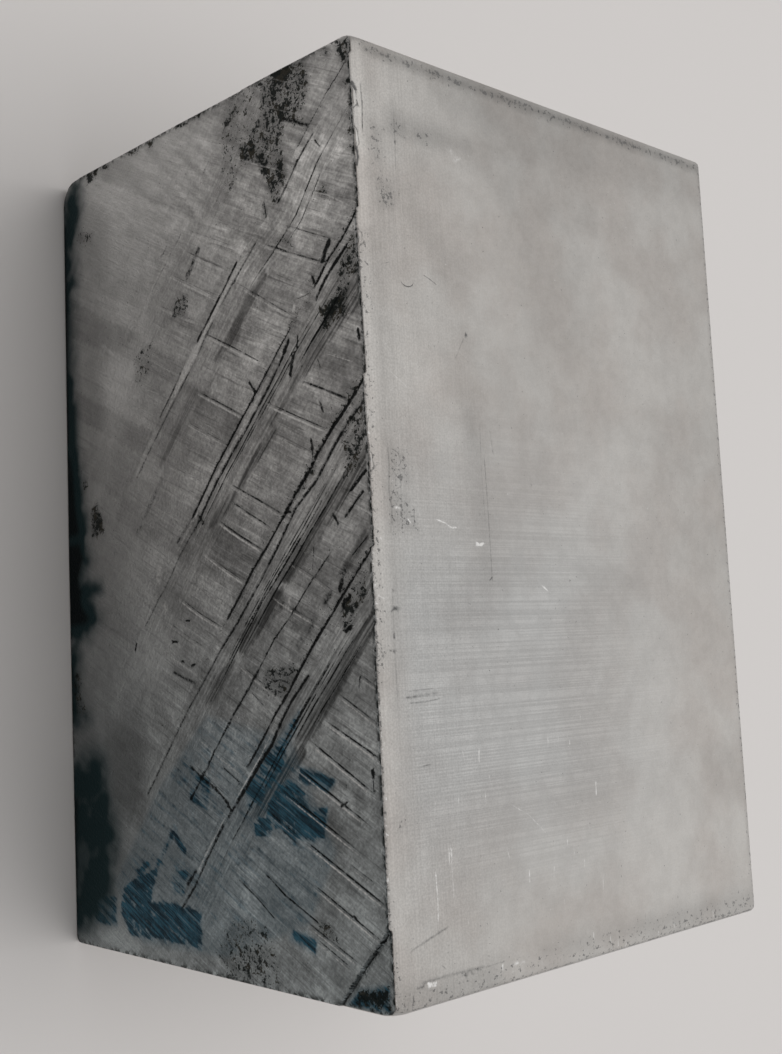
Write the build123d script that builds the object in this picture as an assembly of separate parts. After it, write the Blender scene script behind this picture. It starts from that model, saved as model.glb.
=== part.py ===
from build123d import *
from math import atan, cos, degrees, radians, sin
import os

# Short offcut of extruded aluminium flat bar, hand sawn at one end.
# X runs across the bar's width, Y along the bar, Z up through its thickness.
# The origin is on the table, under the middle of the block.

# Bar
bar_width = 76.2
bar_thickness = 44.45
cut_length = 49.5
extruded_edge_radius = 0.7
sawn_edge_chamfer = 0.2
far_edge_chamfer = 0.3

# Strip filed along the upper edge of the sawn face
filed_strip_width = 1.4
filed_strip_drop = 0.14

# Saw passes: each turn of the blade left a flat facet that ends in a step.
# The steps start from the upper edge, evenly spaced from the bar's left side,
# and fall to the right at angles below the horizontal that fan out.
pass_count = 4
first_step_start = 2.2
step_pitch = 13.0
first_step_angle = 47.0
step_fan_angle = 1.8

# Facet on the lower left of each step, which rises back to the face along its run
facet_width = 8.5
facet_depth = 0.35
facet_run = 54.0

# Band that the side of the blade rubbed smooth, on the upper right of each step
band_width = 4.3
band_depth = 0.16
band_run = 38.0

# Corner on the upper right that the last stroke left sunk, measured from the right side
corner_reach = 6.5
corner_angle = 43.0
corner_depth = 0.3

# Wedge along the lower edge where the cut was started, highest at the left side
entry_height = 4.2
entry_run = 40.0
entry_depth = 0.3


def bar():
    """The extruded bar, cut square, lying on its wide side."""
    with BuildPart() as stock:
        with BuildSketch(Plane.XZ):
            RectangleRounded(bar_width, bar_thickness, extruded_edge_radius)
        extrude(amount=cut_length / 2, both=True)
    return Pos(0, 0, bar_thickness / 2) * stock.part


def slope(rise, length):
    """The angle of a rise over a length, in degrees."""
    return degrees(atan(rise / length))


def face_place(from_left, below_top, angle):
    """A place on the sawn face: x falls to the right at the angle, y rises to the right, z points out."""
    origin = (from_left - bar_width / 2, -cut_length / 2, bar_thickness - below_top)
    along = (cos(radians(angle)), 0, -sin(radians(angle)))
    return Plane(origin=origin, x_dir=along, z_dir=(0, -1, 0)).location


def facet(start, angle, width, depth, run):
    """A tilted cut below a step, deepest at the upper edge and run out along its length and its width."""
    floor = Pos(0, 0, -depth) * Rot(-slope(depth, width), -slope(depth, run), 0)
    cutter = Box(2 * run, 2 * width, 2 * width, align=(Align.CENTER, Align.MAX, Align.MIN))
    return face_place(start, 0, angle) * floor * cutter


def saw_pass(number):
    """One turn of the blade: the facet under its step, and the rubbed band behind it."""
    start = first_step_start + number * step_pitch
    angle = first_step_angle - number * step_fan_angle
    band_start = start + band_width / sin(radians(angle))
    band = facet(band_start, angle, band_width, band_depth, band_run)
    return facet(start, angle, facet_width, facet_depth, facet_run) + band


def sunk_corner():
    """The level floor beyond the last step, at the upper right."""
    across = 2 * corner_reach
    cutter = Box(2 * across, across, 2 * corner_depth, align=(Align.CENTER, Align.MIN, Align.CENTER))
    return face_place(bar_width - corner_reach, 0, corner_angle) * cutter


def entry_wedge():
    """The floor along the lower edge, which leans in towards the table."""
    lean = Rot(slope(entry_depth, entry_height), 0, 0)
    place = face_place(0, bar_thickness - entry_height, slope(entry_height, entry_run))
    cutter = Box(
        4 * entry_run, 2 * entry_height, entry_height, align=(Align.CENTER, Align.MAX, Align.MIN)
    )
    return place * lean * cutter


def filed_strip():
    """The thin wedge taken off the wide upper side, along the sawn edge."""
    lean = Rot(slope(filed_strip_drop, filed_strip_width), 0, 0)
    place = Pos(0, filed_strip_width - cut_length / 2, bar_thickness)
    cutter = Box(
        2 * bar_width, 2 * filed_strip_width, filed_strip_width,
        align=(Align.CENTER, Align.MAX, Align.MIN),
    )
    return place * lean * cutter


def block():
    """The whole offcut, one solid."""
    stock = bar()
    stock = chamfer(stock.faces().sort_by(Axis.Y)[0].edges(), sawn_edge_chamfer)
    stock = chamfer(stock.faces().sort_by(Axis.Y)[-1].edges(), far_edge_chamfer)
    stock -= filed_strip()
    for number in range(pass_count):
        stock -= saw_pass(number)
    stock -= sunk_corner()
    stock -= entry_wedge()
    return stock


os.makedirs("parts", exist_ok=True)
aluminium_block = block()
print("volume mm3", round(aluminium_block.volume, 1), "solids", len(aluminium_block.solids()))
export_step(aluminium_block, "parts/aluminium_block.step")
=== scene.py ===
import math
import bpy
import numpy as np
from mathutils import Matrix, Vector
from mathutils.geometry import delaunay_2d_cdt


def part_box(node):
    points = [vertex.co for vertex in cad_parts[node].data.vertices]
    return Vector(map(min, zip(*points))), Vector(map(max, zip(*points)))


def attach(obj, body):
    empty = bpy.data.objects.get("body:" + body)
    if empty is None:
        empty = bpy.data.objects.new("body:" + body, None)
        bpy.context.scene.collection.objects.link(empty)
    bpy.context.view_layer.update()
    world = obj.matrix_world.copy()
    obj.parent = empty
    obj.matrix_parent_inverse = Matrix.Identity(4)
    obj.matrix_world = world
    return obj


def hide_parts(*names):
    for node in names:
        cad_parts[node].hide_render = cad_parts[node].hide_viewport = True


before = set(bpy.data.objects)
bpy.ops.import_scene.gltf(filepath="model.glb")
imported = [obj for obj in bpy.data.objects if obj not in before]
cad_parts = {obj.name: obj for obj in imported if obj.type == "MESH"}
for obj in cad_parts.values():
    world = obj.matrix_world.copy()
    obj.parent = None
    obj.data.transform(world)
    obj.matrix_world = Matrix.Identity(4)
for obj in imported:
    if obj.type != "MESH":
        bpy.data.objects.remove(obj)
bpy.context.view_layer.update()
print("frame loaded")

mm = 0.001
tiny = 1e-9  # keeps a division from failing
blockLow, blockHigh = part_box("aluminium_block")
half = np.array((blockHigh - blockLow) / 2) / mm  # half sizes of the block, mm
middle = np.array((blockLow + blockHigh) / 2) / mm

# Each face: the corner that u and v start from, the directions of u and v, the outward normal
faces = {
    "sawn": ((-1, -1, 1), (1, 0, 0), (0, 0, -1), (0, -1, 0)),
    "top": ((-1, -1, 1), (1, 0, 0), (0, 1, 0), (0, 0, 1)),
    "bottom": ((-1, -1, -1), (1, 0, 0), (0, 1, 0), (0, 0, -1)),
    "far": ((-1, 1, 1), (1, 0, 0), (0, 0, -1), (0, 1, 0)),
    "left": ((-1, -1, 1), (0, 1, 0), (0, 0, -1), (-1, 0, 0)),
    "right": ((1, -1, 1), (0, 1, 0), (0, 0, -1), (1, 0, 0)),
}

block = {  # mm
    "cornerRadius": 0.7,
    "sawnEdgeRadius": 0.22,
    "farEdgeRadius": 0.3,
    "stripWidth": 1.4,
    "stripDrop": 0.14,
    "blend": 0.6,  # how far a face's relief reaches round its edges
    # How far each knocked corner reaches
    "knocks": {(-1, -1, 1): 1.6, (1, -1, 1): 2.2, (-1, -1, -1): 2.8},
    # Spacing of the mesh's points, over each face and along its edges
    "spacing": {"sawn": 0.36, "top": 0.62, "bottom": 1.7, "far": 1.6, "left": 1.6, "right": 1.6},
    "edgeSpacing": {"sawn": 0.26, "top": 0.36, "bottom": 0.9, "far": 0.9, "left": 0.9, "right": 0.9},
    "edgeRows": (0.08, 0.17, 0.3, 0.48, 0.72, 1.0),
    "edgeRowGap": 0.045,
    "stepRows": (-0.4, -0.16, 0, 0.04, 0.2),
    "bandRows": (-0.15, 0, 0.04),
    "rowSpacing": 0.28,
    "bandRowSpacing": 0.32,
    "rowGap": 0.05,
    "rowMargin": 0.02,
    "widestTraced": 0.42,  # wider marks get no rows of points of their own
    "gridShift": 0.2,  # a share of the spacing
    "gridMargin": 0.6,
    "gridGap": 0.17,
    "skin": 0.0005,  # kept clear inside the plain box
    "seed": 11,
}

# The saw's steps. A face mark's points are mm from the face's left side and mm from its first edge,
# which is the upper edge on the sawn face and the sawn edge on the others
sawSteps = [
    [(0, 14), (5, 18.5), (9.5, 22.8), (14.5, 28.4), (19.5, 33.5), (24, 37)],
    [(2, 0.3), (4.2, 3.2), (7.5, 6.9), (11.6, 10), (15, 15.4), (17.2, 17.7), (21, 21.7), (27, 27.9),
        (33, 33.5)],
    [(14.5, 0.1), (16.4, 1.9), (19.6, 5.5), (22.2, 8.6), (26.8, 13.4), (32.2, 19.1), (36.8, 23.4),
        (43.6, 29.6), (48, 33)],
    [(27.9, 0.1), (31.5, 4.2), (34.5, 7.1), (38, 10.7), (42, 14.9), (46, 18.7), (52, 24.2), (60, 31),
        (65, 35.4)],
    [(41.2, 0), (44.8, 3.8), (50, 8.9), (54.1, 12.7), (58.5, 16.6), (63.4, 20.9), (69, 25.3), (72, 27.8)],
    [(69.7, 0), (71.8, 2), (73.2, 3.4), (76.2, 6.1)],
]
# Marks on the sawn face: half width, strength, points. The cuts along the steps are dark marks with painted
# shade in the step creases
sawnCutsAndCreaseShade = [
    (0.25, 0.75, (2, 0.3), (4.2, 3.2), (6, 5.3), (7.5, 6.9)),
    (0.23, 0.7, (6.8, 4.6), (8.7, 6.9), (10.2, 8.2), (11.6, 9.7)),
    (0.38, 1, (14.5, 0), (16.4, 1.9), (17.6, 3.6), (19.5, 5.4)),
    (0.26, 0.85, (17.1, 1.2), (19.3, 4), (20.9, 5.4)),
    (0.12, 0.4, (19.7, 5.6), (20, 6.6), (20.1, 8)),
    (0.12, 0.35, (21, 5.5), (22.2, 8.3)),
    (0.29, 1, (22.2, 8.6), (23.9, 10.4), (26.8, 13.4), (28.2, 14.9), (30.2, 17), (32.2, 19.1),
        (33.6, 20.4), (36.8, 23.3)),
    (0.26, 0.85, (24.2, 9.3), (27, 11.9), (29.5, 14.5), (32, 17.3), (34, 19.4), (36.2, 21.4), (38, 23)),
    (0.25, 0.75, (37.6, 22.7), (40, 25.3), (42, 27), (43.6, 28.7), (46.2, 31.2)),
    (0.29, 0.85, (37.2, 24), (38.8, 25.8)),
    (0.28, 0.6, (13.7, 12.2), (15.2, 14), (17, 16.2), (18.6, 18), (20.8, 20.3), (22.5, 21.8),
        (24.7, 24.2), (27, 26.7), (30, 29.8), (32.6, 32.3)),
    (0.33, 0.95, (15, 15.4), (17.2, 17.7), (19.3, 19.9), (21, 21.7)),
    (0.29, 0.85, (23.2, 24.3), (24.8, 25.6), (27, 27.9)),
    (0.28, 0.5, (10.4, 23.3), (12, 25.2), (15, 28.5)),
    (0.26, 0.55, (10.5, 25.2), (12, 27)),
    (0.28, 0.5, (4.8, 18.9), (5.8, 20)),
    (0.4, 1, (27.9, 0), (30, 2.3), (31.5, 4.2), (33.2, 6), (34.5, 7.1), (36, 8.8), (38, 10.7)),
    (0.31, 0.95, (37.5, 10.2), (40, 12.7), (42, 14.9), (44.3, 17), (46, 18.7)),
    (0.26, 0.75, (29.8, 0.2), (31.2, 2), (33, 3.9), (35.4, 6.1), (37.5, 9.1)),
    (0.26, 0.7, (37.3, 8.8), (40.6, 11.6), (43.2, 14), (46.3, 17.1), (48.6, 19.7)),
    (0.28, 0.85, (48, 19.1), (50, 21), (53.5, 24.5), (57, 27.6), (60, 30.2), (61.6, 31.6)),
    (0.25, 0.4, (61.4, 31.4), (64, 34.2)),
    (0.25, 0.9, (35.2, 0.4), (36.8, 2.5)),
    (0.23, 0.8, (36.8, 0.9), (38.8, 3.3)),
    (0.13, 0.6, (40.3, 0.7), (41.8, 2.7)),
    (0.16, 0.6, (41.2, 4.9), (43.9, 8), (45.9, 10), (47.9, 12.4), (50.5, 14.7)),
    (0.23, 0.75, (50.3, 14.5), (52, 16.1), (54, 18.1), (57, 20.8), (59, 22.4)),
    (0.26, 0.95, (58.2, 21.8), (59.6, 23), (61.6, 24.8)),
    (0.33, 1, (41.2, 0), (43, 2), (44.8, 3.8), (46.5, 5.5), (48.2, 7.2), (50, 8.9), (51.6, 10.3),
        (53.1, 11.6)),
    (0.28, 0.8, (52.8, 11.4), (54.1, 12.7), (56, 14.3), (58.5, 16.6)),
    (0.25, 0.8, (50.8, 8), (53, 10.4), (55, 12.1)),
    (0.29, 1, (54.6, 11.8), (56.5, 13.1), (58, 14.7), (60, 16.6), (61.6, 18.2)),
    (0.28, 0.85, (61.4, 18), (63.4, 20), (66.5, 22.6), (69, 24.5), (71.2, 26.7)),
    (0.29, 0.95, (67.5, 24.3), (69, 25.8)),
    (0.12, 0.5, (69.7, 0), (71.8, 2), (73.4, 3.5)),
    (0.13, 0.4, (73.2, 3.4), (74.5, 4.4), (76.1, 6)),
    (0.25, 0.85, (62.1, 18.8), (60.5, 21), (59.5, 23), (58.5, 24.8)),
    (0.14, 0.7, (60, 17.4), (58.5, 20)),
    (0.17, 0.7, (70.2, 8), (68.5, 12), (67, 14.5)),
    (0.14, 0.65, (70.5, 13.5), (69, 15.8), (67.7, 18.3)),
    (0.33, 0.6, (6, 5.6), (5.1, 7.2), (4.4, 8.8)),
    (0.12, 0.6, (32.8, 6.75), (34.4, 6.9)),
    (0.14, 0.8, (37.55, 9.4), (37.65, 10.5)),
    (0.08, 0.7, (58.4, 1.05), (59.8, 1.1)),
    (0.25, 0.6, (36.5, 22.4), (37.6, 21.1)),
    (0.33, 0.85, (51.4, 23.3), (51, 24.8), (50.6, 26), (50.2, 26.9)),
    (0.33, 0.9, (75.2, 33), (76.2, 34)),
    (0.17, 0.6, (10.7, 11.6), (12.4, 11.4)),
    (0.14, 0.45, (50.3, 9.6), (50.9, 11), (50.6, 12.6)),
    (0.18, 0.5, (51.6, 10.6), (51.2, 11.9), (51.4, 13), (50.9, 14.2)),
    (0.14, 0.45, (52.4, 11.2), (52.1, 12.3), (52.3, 13.4)),
]
# Painted highlights along the raised ridges beside the steps
sawnRidgeHighlights = [
    (0.34, 0.55, (5.4, 2.6), (8.2, 6.3), (10.9, 9)),
    (0.2, 0.5, (7.3, 6.8), (8.5, 7.7)),
    (0.3, 0.4, (17.6, 2.6), (20.4, 5.6)),
    (0.32, 0.55, (23.7, 9.5), (27.2, 12.9), (30.4, 16.2), (33.8, 19.9), (37.4, 23.4), (40.2, 26.2)),
    (0.5, 0.75, (13.4, 12.7), (15.6, 15.1), (18.4, 18.2), (19.8, 19.7), (22.2, 22.3), (24.8, 25),
        (27, 27.3)),
    (0.5, 0.5, (11.2, 24.6), (14.5, 28.2), (18, 31)),
    (0.3, 0.35, (37.2, 9.6), (39.8, 12), (42.8, 14.8), (46.3, 18.1)),
    (0.13, 0.6, (55.2, 12.7), (57, 14.2), (59, 16.1), (61.4, 18.4)),
    (0.14, 0.5, (62.2, 19.3), (66.2, 22.8), (68.4, 24.5)),
    (0.3, 0.95, (20.3, 8.25), (21.2, 8.35)),
    (0.14, 0.6, (14.5, 0.4), (12.5, 3.5), (10.7, 7.7)),
    (0.12, 0.4, (11.8, 0.3), (10.8, 3.5)),
    (0.16, 0.5, (16.2, 8), (14.8, 10.4)),
    (0.1, 0.6, (26.7, 1.2), (25.3, 4.6)),
    (0.6, 0.5, (43.9, 27.9), (45, 27.5)),
    (0.6, 0.4, (40.2, 28.4), (42.8, 29.1)),
    (0.8, 0.45, (9, 20.6), (9.9, 21.4)),
    (0.8, 0.45, (17.7, 29.7), (18.4, 30.8)),
    (0.4, 0.5, (44.3, 10), (45.6, 10.6)),
]
# Long scratches that fan down from the upper edge on the right, each a painted highlight with a painted
# shadow beside it: strength, upper end, lower end
fanScratches = [
    (0.5, (52.3, 0), (50.8, 2.8)),
    (0.7, (55, 0.2), (52.5, 4.9)),
    (0.95, (57.6, 0.1), (54.7, 6.4)),
    (1, (60.2, 1), (56.2, 8.5)),
    (1, (62.4, 2), (58.3, 10.3)),
    (0.9, (64.8, 2.6), (60.2, 12.2)),
    (1, (68.5, 0), (64, 9.8)),
    (0.85, (71, 0.9), (67.4, 8.8)),
    (0.7, (73, 3.4), (70.4, 9.8)),
    (0.6, (64, 10), (62, 14.2)),
    (0.6, (73.5, 4.2), (71.6, 8.6)),
    (0.5, (66.9, 1.2), (65.4, 4.6)),
    (0.5, (54.4, 13.2), (52, 16.3)),
]
sawnBlots = [
    (0.36, 1, (16.3, 3.6), (17, 4.2), (17.7, 4.5)),
    (0.24, 1, (18.7, 5.9), (19.7, 5.4)),
    (0.14, 0.8, (23.3, 7.7), (24.4, 7.9)),
    (0.3, 1, (24.6, 8.3), (26.3, 8.9)),
    (0.3, 0.9, (23.5, 8.9), (24.3, 9.5)),
    (0.22, 1, (26, 14.4), (27, 13.7), (27.6, 13.9)),
    (0.16, 0.8, (7.7, 4.5), (8.1, 4.2)),
    (0.2, 0.8, (18.4, 1.9), (18.8, 1.8)),
    (0.22, 0.9, (24.1, 0.7), (24.9, 0.6)),
    (0.14, 0.8, (25.8, 5.4), (26.1, 5.3)),
    (0.27, 1, (32.1, 6.8), (32.8, 6.7)),
    (0.22, 1, (38.5, 4.3), (39, 4)),
    (0.1, 0.6, (40.8, 6.9), (42.4, 7.2)),
    (0.36, 1, (43.6, 3.9), (44.3, 4.2)),
    (0.27, 1, (44.9, 2.7), (45.1, 3)),
    (0.3, 1, (45.2, 3.4), (45.8, 3.6)),
    (0.28, 1, (47.3, 2.9), (47.5, 3.5)),
    (0.25, 0.6, (29.2, 5.5), (29.8, 5.3)),
    (0.24, 0.9, (58.1, 1.1), (58.6, 1.1)),
    (0.18, 0.9, (60.7, 4.2), (61, 4.8)),
    (0.17, 0.8, (51.1, 2), (51.7, 2.1)),
    (0.15, 0.8, (69.1, 3.9), (69.3, 3.6)),
    (0.18, 0.8, (49.7, 23.6), (49.8, 24)),
    (0.2, 0.9, (49.4, 25.1), (49.4, 25.5)),
    (0.18, 0.8, (47.6, 26.1), (47.6, 26.5)),
    (0.18, 0.9, (45.8, 24), (45.8, 24.4)),
    (0.22, 0.7, (47.6, 32.6), (48.2, 32.8)),
    (0.55, 0.4, (42.6, 3.3), (43.3, 4.1)),
    (0.55, 0.4, (44.5, 5.3), (45.3, 6.1)),
    (0.6, 0.38, (46.4, 7.1), (47.4, 8.3)),
    (0.55, 0.35, (47.9, 8.8), (48.6, 9.5)),
    (0.5, 0.3, (54.4, 4), (54.8, 4.5)),
    (0.5, 0.3, (56.3, 4.1), (56.7, 4.5)),
    (0.45, 0.5, (12.6, 20.8), (14.8, 22.8)),
    (0.5, 0.3, (32.8, 27.8), (35.4, 30.2), (37.4, 32)),
]
# Dirt: strength, outline
sawnGrime = [
    (1.3, (0, 7.2), (1, 7.1), (1.5, 8.4), (1.3, 9.7), (0, 9.9)),
    (1, (1.9, 5.3), (2.6, 5.3), (2.6, 6.2), (2.2, 6.6), (2, 6.2)),
    (0.95, (1.3, 6), (2.1, 6.1), (1.9, 6.9), (1.4, 6.8)),
    (1.3, (3.1, 8.2), (4.2, 8.3), (4.1, 9.5), (3.2, 9.3)),
    (0.7, (0, 6.5), (1.2, 6.9), (2.4, 8.6), (3.7, 10.2), (3.2, 11.2), (1.4, 10.6), (0, 10.6)),
    (0.64, (1.2, 5.2), (3, 5.2), (4.9, 6.6), (5.4, 5.6), (6, 5.8), (5, 8.4), (6.6, 8.8), (10, 8.2),
        (11.6, 10.3), (9.9, 11.2), (7.4, 12.2), (7, 14), (5, 14.9), (4.4, 13), (2.8, 11.6), (0, 11.4),
        (0, 6.2)),
    (1.02, (5, 12.4), (6.4, 12.1), (6.9, 13.2), (6.6, 14.4), (4.8, 14.6)),
    (1.3, (5.5, 10.1), (6.3, 10.2), (6.2, 11), (5.6, 11)),
    (1.2, (7.6, 8.9), (9.6, 8.9), (9.6, 9.8), (7.8, 9.8)),
    (1.3, (6.4, 11.4), (8, 10.9), (9.6, 10.3), (9.7, 10.8), (7.9, 11.6), (6.6, 12.1)),
    (0.95, (0.9, 14.3), (1.9, 14.6), (3, 16.5), (2.1, 16.7)),
    (0.4, (0, 11.2), (4, 12.3), (8, 14.6), (9.4, 16.8), (5, 17.5), (0, 16.5)),
    (1, (1.2, 0.6), (1.9, 0.7), (1.8, 1.3), (1.3, 1.2)),
    (0.8, (0, 0.3), (2, 0.3), (2.1, 1.3), (0.9, 1.9), (0, 2.2)),
    (0.9, (0.3, 2.7), (1, 2.7), (1, 3.1), (0.4, 3.1)),
    (0.8, (3.6, 0), (4.3, 0.2), (4.3, 1.5), (3.9, 1.5)),
    (0.45, (4.6, 0), (10.4, 0), (9.6, 1.2), (5.2, 0.8)),
    (0.8, (11.5, 3.9), (12.8, 3.2), (12.6, 4), (12, 4.9), (11.7, 4.6)),
    (0.75, (14.9, 8.2), (15.6, 8), (15.3, 8.8), (14.7, 10.2), (14.3, 9.8)),
    (0.6, (10.5, 11.4), (12.5, 11.3), (12.6, 11.9), (10.8, 12)),
    (0.65, (15.4, 0.2), (19.8, 0.2), (20.2, 3), (19, 2.8), (17.2, 1.6)),
    (0.9, (20.1, 1.3), (22.6, 1.8), (23.6, 4.6), (21.6, 5)),
    (0.6, (29.3, 0.2), (33.4, 0.2), (34.8, 2.9), (32, 3.2)),
    (0.8, (32.8, 0.4), (35, 1.4), (35.6, 3.2), (33.4, 2.1)),
    (0.65, (42.6, 0.4), (45, 0.6), (48, 3.2), (46.4, 4.6)),
    (0.9, (44.2, 2.2), (46, 2.6), (46.6, 4), (45.2, 3.6)),
    (0.7, (33.4, 5.8), (35, 6.3), (36.6, 8.7), (35.2, 8.5)),
    (0.5, (70.9, 14.5), (72.5, 13.6), (75.9, 12.8), (76.2, 20), (74, 21.6), (71.6, 19.8), (70.7, 17)),
    (0.66, (72.6, 15), (75.4, 14.4), (75.8, 18.4), (73.4, 18.8)),
    (0.65, (16.3, 22.5), (18.5, 23.2), (18.1, 25.5), (16.1, 24.7)),
    (0.45, (19.3, 28.3), (22.9, 29.3), (23.3, 31.7), (20.1, 31.9)),
    (0.56, (49.8, 9.4), (52.9, 11.6), (52, 14.6), (50, 13.6)),
    (0.9, (33.6, 38.9), (35, 38), (36.7, 37.6), (37.1, 39.9), (34.1, 40)),
    (0.8, (31, 40.4), (32.5, 40.7), (32.3, 41.5), (31, 41.3)),
    (0.6, (50, 42.6), (52.6, 42.4), (54.4, 41.4), (54.2, 43.8), (50, 44.4)),
    (0.6, (6.4, 38.1), (7.7, 38.5), (6.7, 41.2), (5.7, 41.6)),
    (0.9, (0, 19.4), (0.6, 20), (0.5, 21), (0, 21.2)),
    (0.95, (0, 21.8), (0.6, 22), (0.6, 23.5), (0, 23.7)),
    (0.9, (0, 27.3), (1.1, 27.6), (1, 28.3), (0, 28.5)),
    (0.8, (0, 29.5), (0.8, 30), (0.7, 31.5), (0, 31.8)),
    (0.8, (0, 34.9), (0.9, 35.2), (0.7, 36.3), (0, 36.6)),
    (0.9, (0, 37), (1, 37.5), (1.3, 39.2), (0, 39.6)),
    (0.6, (70, 6.3), (71.7, 5.7), (71.3, 8.1), (70, 8.3)),
    (0.9, (74, 0.6), (75.7, 0.6), (75.9, 4.8), (74.5, 3.6)),
]
# Dark drag marks along the far border of each band
sawnSmears = [
    (0.6, (16.6, 11.6), (17.5, 11.4), (19.4, 13.3), (20.2, 14.7), (22, 15.8), (23.2, 19), (20.4, 16.2),
        (18.4, 13.9)),
    (0.72, (20, 0.1), (22.4, 0.4), (24.2, 3.6), (26.4, 6.6), (28, 9.3), (27.2, 9.2), (25, 7),
        (22.8, 4.6), (21.2, 3)),
    (0.75, (28.4, 9.8), (29, 10.1), (30.1, 11.7), (29.9, 12.4)),
    (0.85, (30.3, 11.1), (31, 10.9), (32.3, 12.5), (33.4, 14.3), (34.8, 15.6), (34.9, 16.6),
        (32.4, 14.6)),
    (0.7, (34.6, 16.6), (35.6, 16.8), (37.4, 19.1), (38.4, 21.4), (36.9, 20.2)),
    (0.85, (33.7, 0.3), (35.1, 0.5), (37, 2.6), (39, 4.9), (40.2, 6.1), (42, 8.4), (43.5, 10.2),
        (43.1, 11.4), (40.6, 8.9), (37.6, 5.8), (35.4, 3.2)),
    (1, (43.9, 10.9), (45.2, 11), (46.9, 13.6), (48.9, 16.2), (49, 17.2), (47.3, 16.5), (45.3, 13.8),
        (43.7, 12)),
    (0.6, (49, 17), (50.2, 18), (52.9, 21), (53.2, 22.4), (50.4, 19.8)),
    (0.9, (46, 0.2), (47.7, 0.2), (50.2, 2.5), (52.8, 4.9), (54.7, 6.7), (56.3, 8.7), (56, 10.1),
        (53, 7.2), (50.4, 5), (48.2, 2.9)),
    (1.1, (56, 8.7), (57.5, 8.8), (59, 11), (60.6, 12.2), (62.2, 14), (62.6, 16), (60.4, 14.8),
        (57.8, 11.8)),
    (0.5, (39.6, 0.9), (40.6, 0.6), (42.9, 3), (42.4, 3.6)),
    (0.35, (24.6, 22), (25.6, 21.6), (30.2, 26), (31.6, 28.2), (29.6, 27.4)),
]
# Lighter (+) and darker (-) areas
sawnTones = [
    (0.35, (1.2, 2.2), (3, 1.4), (4.3, 4), (3.4, 5.6), (1.4, 5)),
    (0.4, (4.2, 1.2), (9, 0.6), (9.6, 4.4), (10.6, 8.2), (8, 6.6)),
    (0.3, (9, 2), (14, 1), (15, 4.6), (13.4, 8.8), (10.8, 7.6)),
    (0.35, (18.6, 9.4), (22.4, 9.2), (25.6, 12.8), (24.4, 16.6), (20.4, 13.6)),
    (0.3, (12.4, 11.6), (16.2, 11), (19.8, 14.2), (19.4, 17.4), (15.8, 15.2)),
    (0.25, (33, 7.6), (36, 8.4), (38.8, 12), (37.6, 15), (34, 11)),
    (0.3, (57.2, 17), (60.2, 17.4), (61, 21), (57.6, 21.6)),
    (0.4, (64.2, 15.4), (71, 16.2), (71.4, 20.6), (66.4, 21.4), (63.4, 18.6)),
    (0.45, (72.8, 34), (76.2, 33), (76.2, 44.4), (74.6, 44.4), (73.8, 38)),
    (0.3, (2, 18), (8, 19), (10, 25), (4, 29), (0, 26)),
    (0.35, (19, 29), (27, 30), (28, 36), (21, 38)),
    (-0.3, (25.2, 1.2), (28, 2.4), (27.2, 4.6), (25, 3.6)),
    (-0.35, (28.6, 13), (31.4, 13.4), (33, 16.8), (30.6, 17)),
    (-0.25, (38, 16), (41.4, 17.4), (41.8, 20.6), (38.4, 19.8)),
    (-0.4, (65.2, 5.6), (71.6, 5.4), (70.8, 9.4), (66, 9.6)),
    (-0.25, (67.6, 12.4), (71.6, 12.8), (70.4, 16.4), (67.2, 15.6)),
    (-0.5, (54, 32), (63, 32), (64, 37), (55, 38)),
    (0.22, (1, 28), (14, 28), (26, 33), (34, 39), (18, 37), (3, 36)),
    (0.25, (36, 28), (50, 28), (52, 33), (40, 35)),
    (-0.35, (56.5, 31), (57.5, 31), (57.5, 38), (56.5, 38)),
    (-0.3, (66, 32.4), (69.6, 31.6), (70.6, 36.4), (66.8, 36.6)),
]
sawnDye = [
    (0.3, (56, 10.5), (64.5, 5.5), (70.5, 9), (74.5, 20), (75, 33), (70, 37.5), (61, 30), (54, 22)),
    (0.55, (73.8, 0.6), (76, 0.6), (76, 5.4), (74.6, 4)),
    (0.5, (53.4, 9.2), (55.2, 9.8), (58.6, 12.4), (62.4, 16.4), (60.6, 17), (57, 13.6)),
    (1, (62.3, 7.3), (63.9, 8.2), (63.9, 10.4), (62.3, 14.2), (60.5, 13.2), (59.3, 11.4), (59.5, 9.8),
        (61.2, 8.6)),
    (0.85, (61.2, 6.4), (63.6, 7), (63.9, 9.2), (61.6, 9.2)),
    (0.8, (59.1, 5.3), (60, 6.3), (59, 9.7), (58.1, 9.7), (58.5, 7.3)),
    (0.75, (55.5, 10.8), (58.5, 11.8), (60.6, 14.4), (62.2, 16.5), (60.4, 16.9), (58, 14.6)),
    (0.8, (62.4, 13.8), (63.9, 13.4), (64, 15.7), (62.6, 15.5)),
    (0.45, (59.2, 21.4), (62.6, 22.2), (61.8, 25.2), (59.2, 24.4)),
    (0.35, (56.8, 23.4), (60.5, 24.2), (60.3, 26.8), (57.5, 25.8)),
    (0.9, (71, 23.7), (74.1, 23.7), (74.1, 31.4), (70.9, 31.2)),
    (0.9, (68, 30.2), (70.5, 31.2), (74.3, 31.2), (74.3, 34.7), (72.4, 36.4), (70.2, 35.8), (69, 33.5)),
    (0.6, (71.1, 37), (73.9, 37), (73.9, 41), (71.1, 41)),
    (0.6, (71.5, 8.3), (72.7, 8.5), (71.9, 11.8), (70.9, 11.3)),
    (0.5, (67.5, 25.5), (69.9, 25.9), (70.1, 27.9), (68.1, 28.1)),
    (0.7, (63.9, 27.2), (66, 25.5), (66.7, 26), (64.9, 27.4), (68.2, 30.3), (67.9, 30.7), (64.4, 27.8)),
    (0.7, (66.8, 30.8), (67.4, 30.8), (69, 33.3), (68.4, 33.6)),
]
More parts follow.
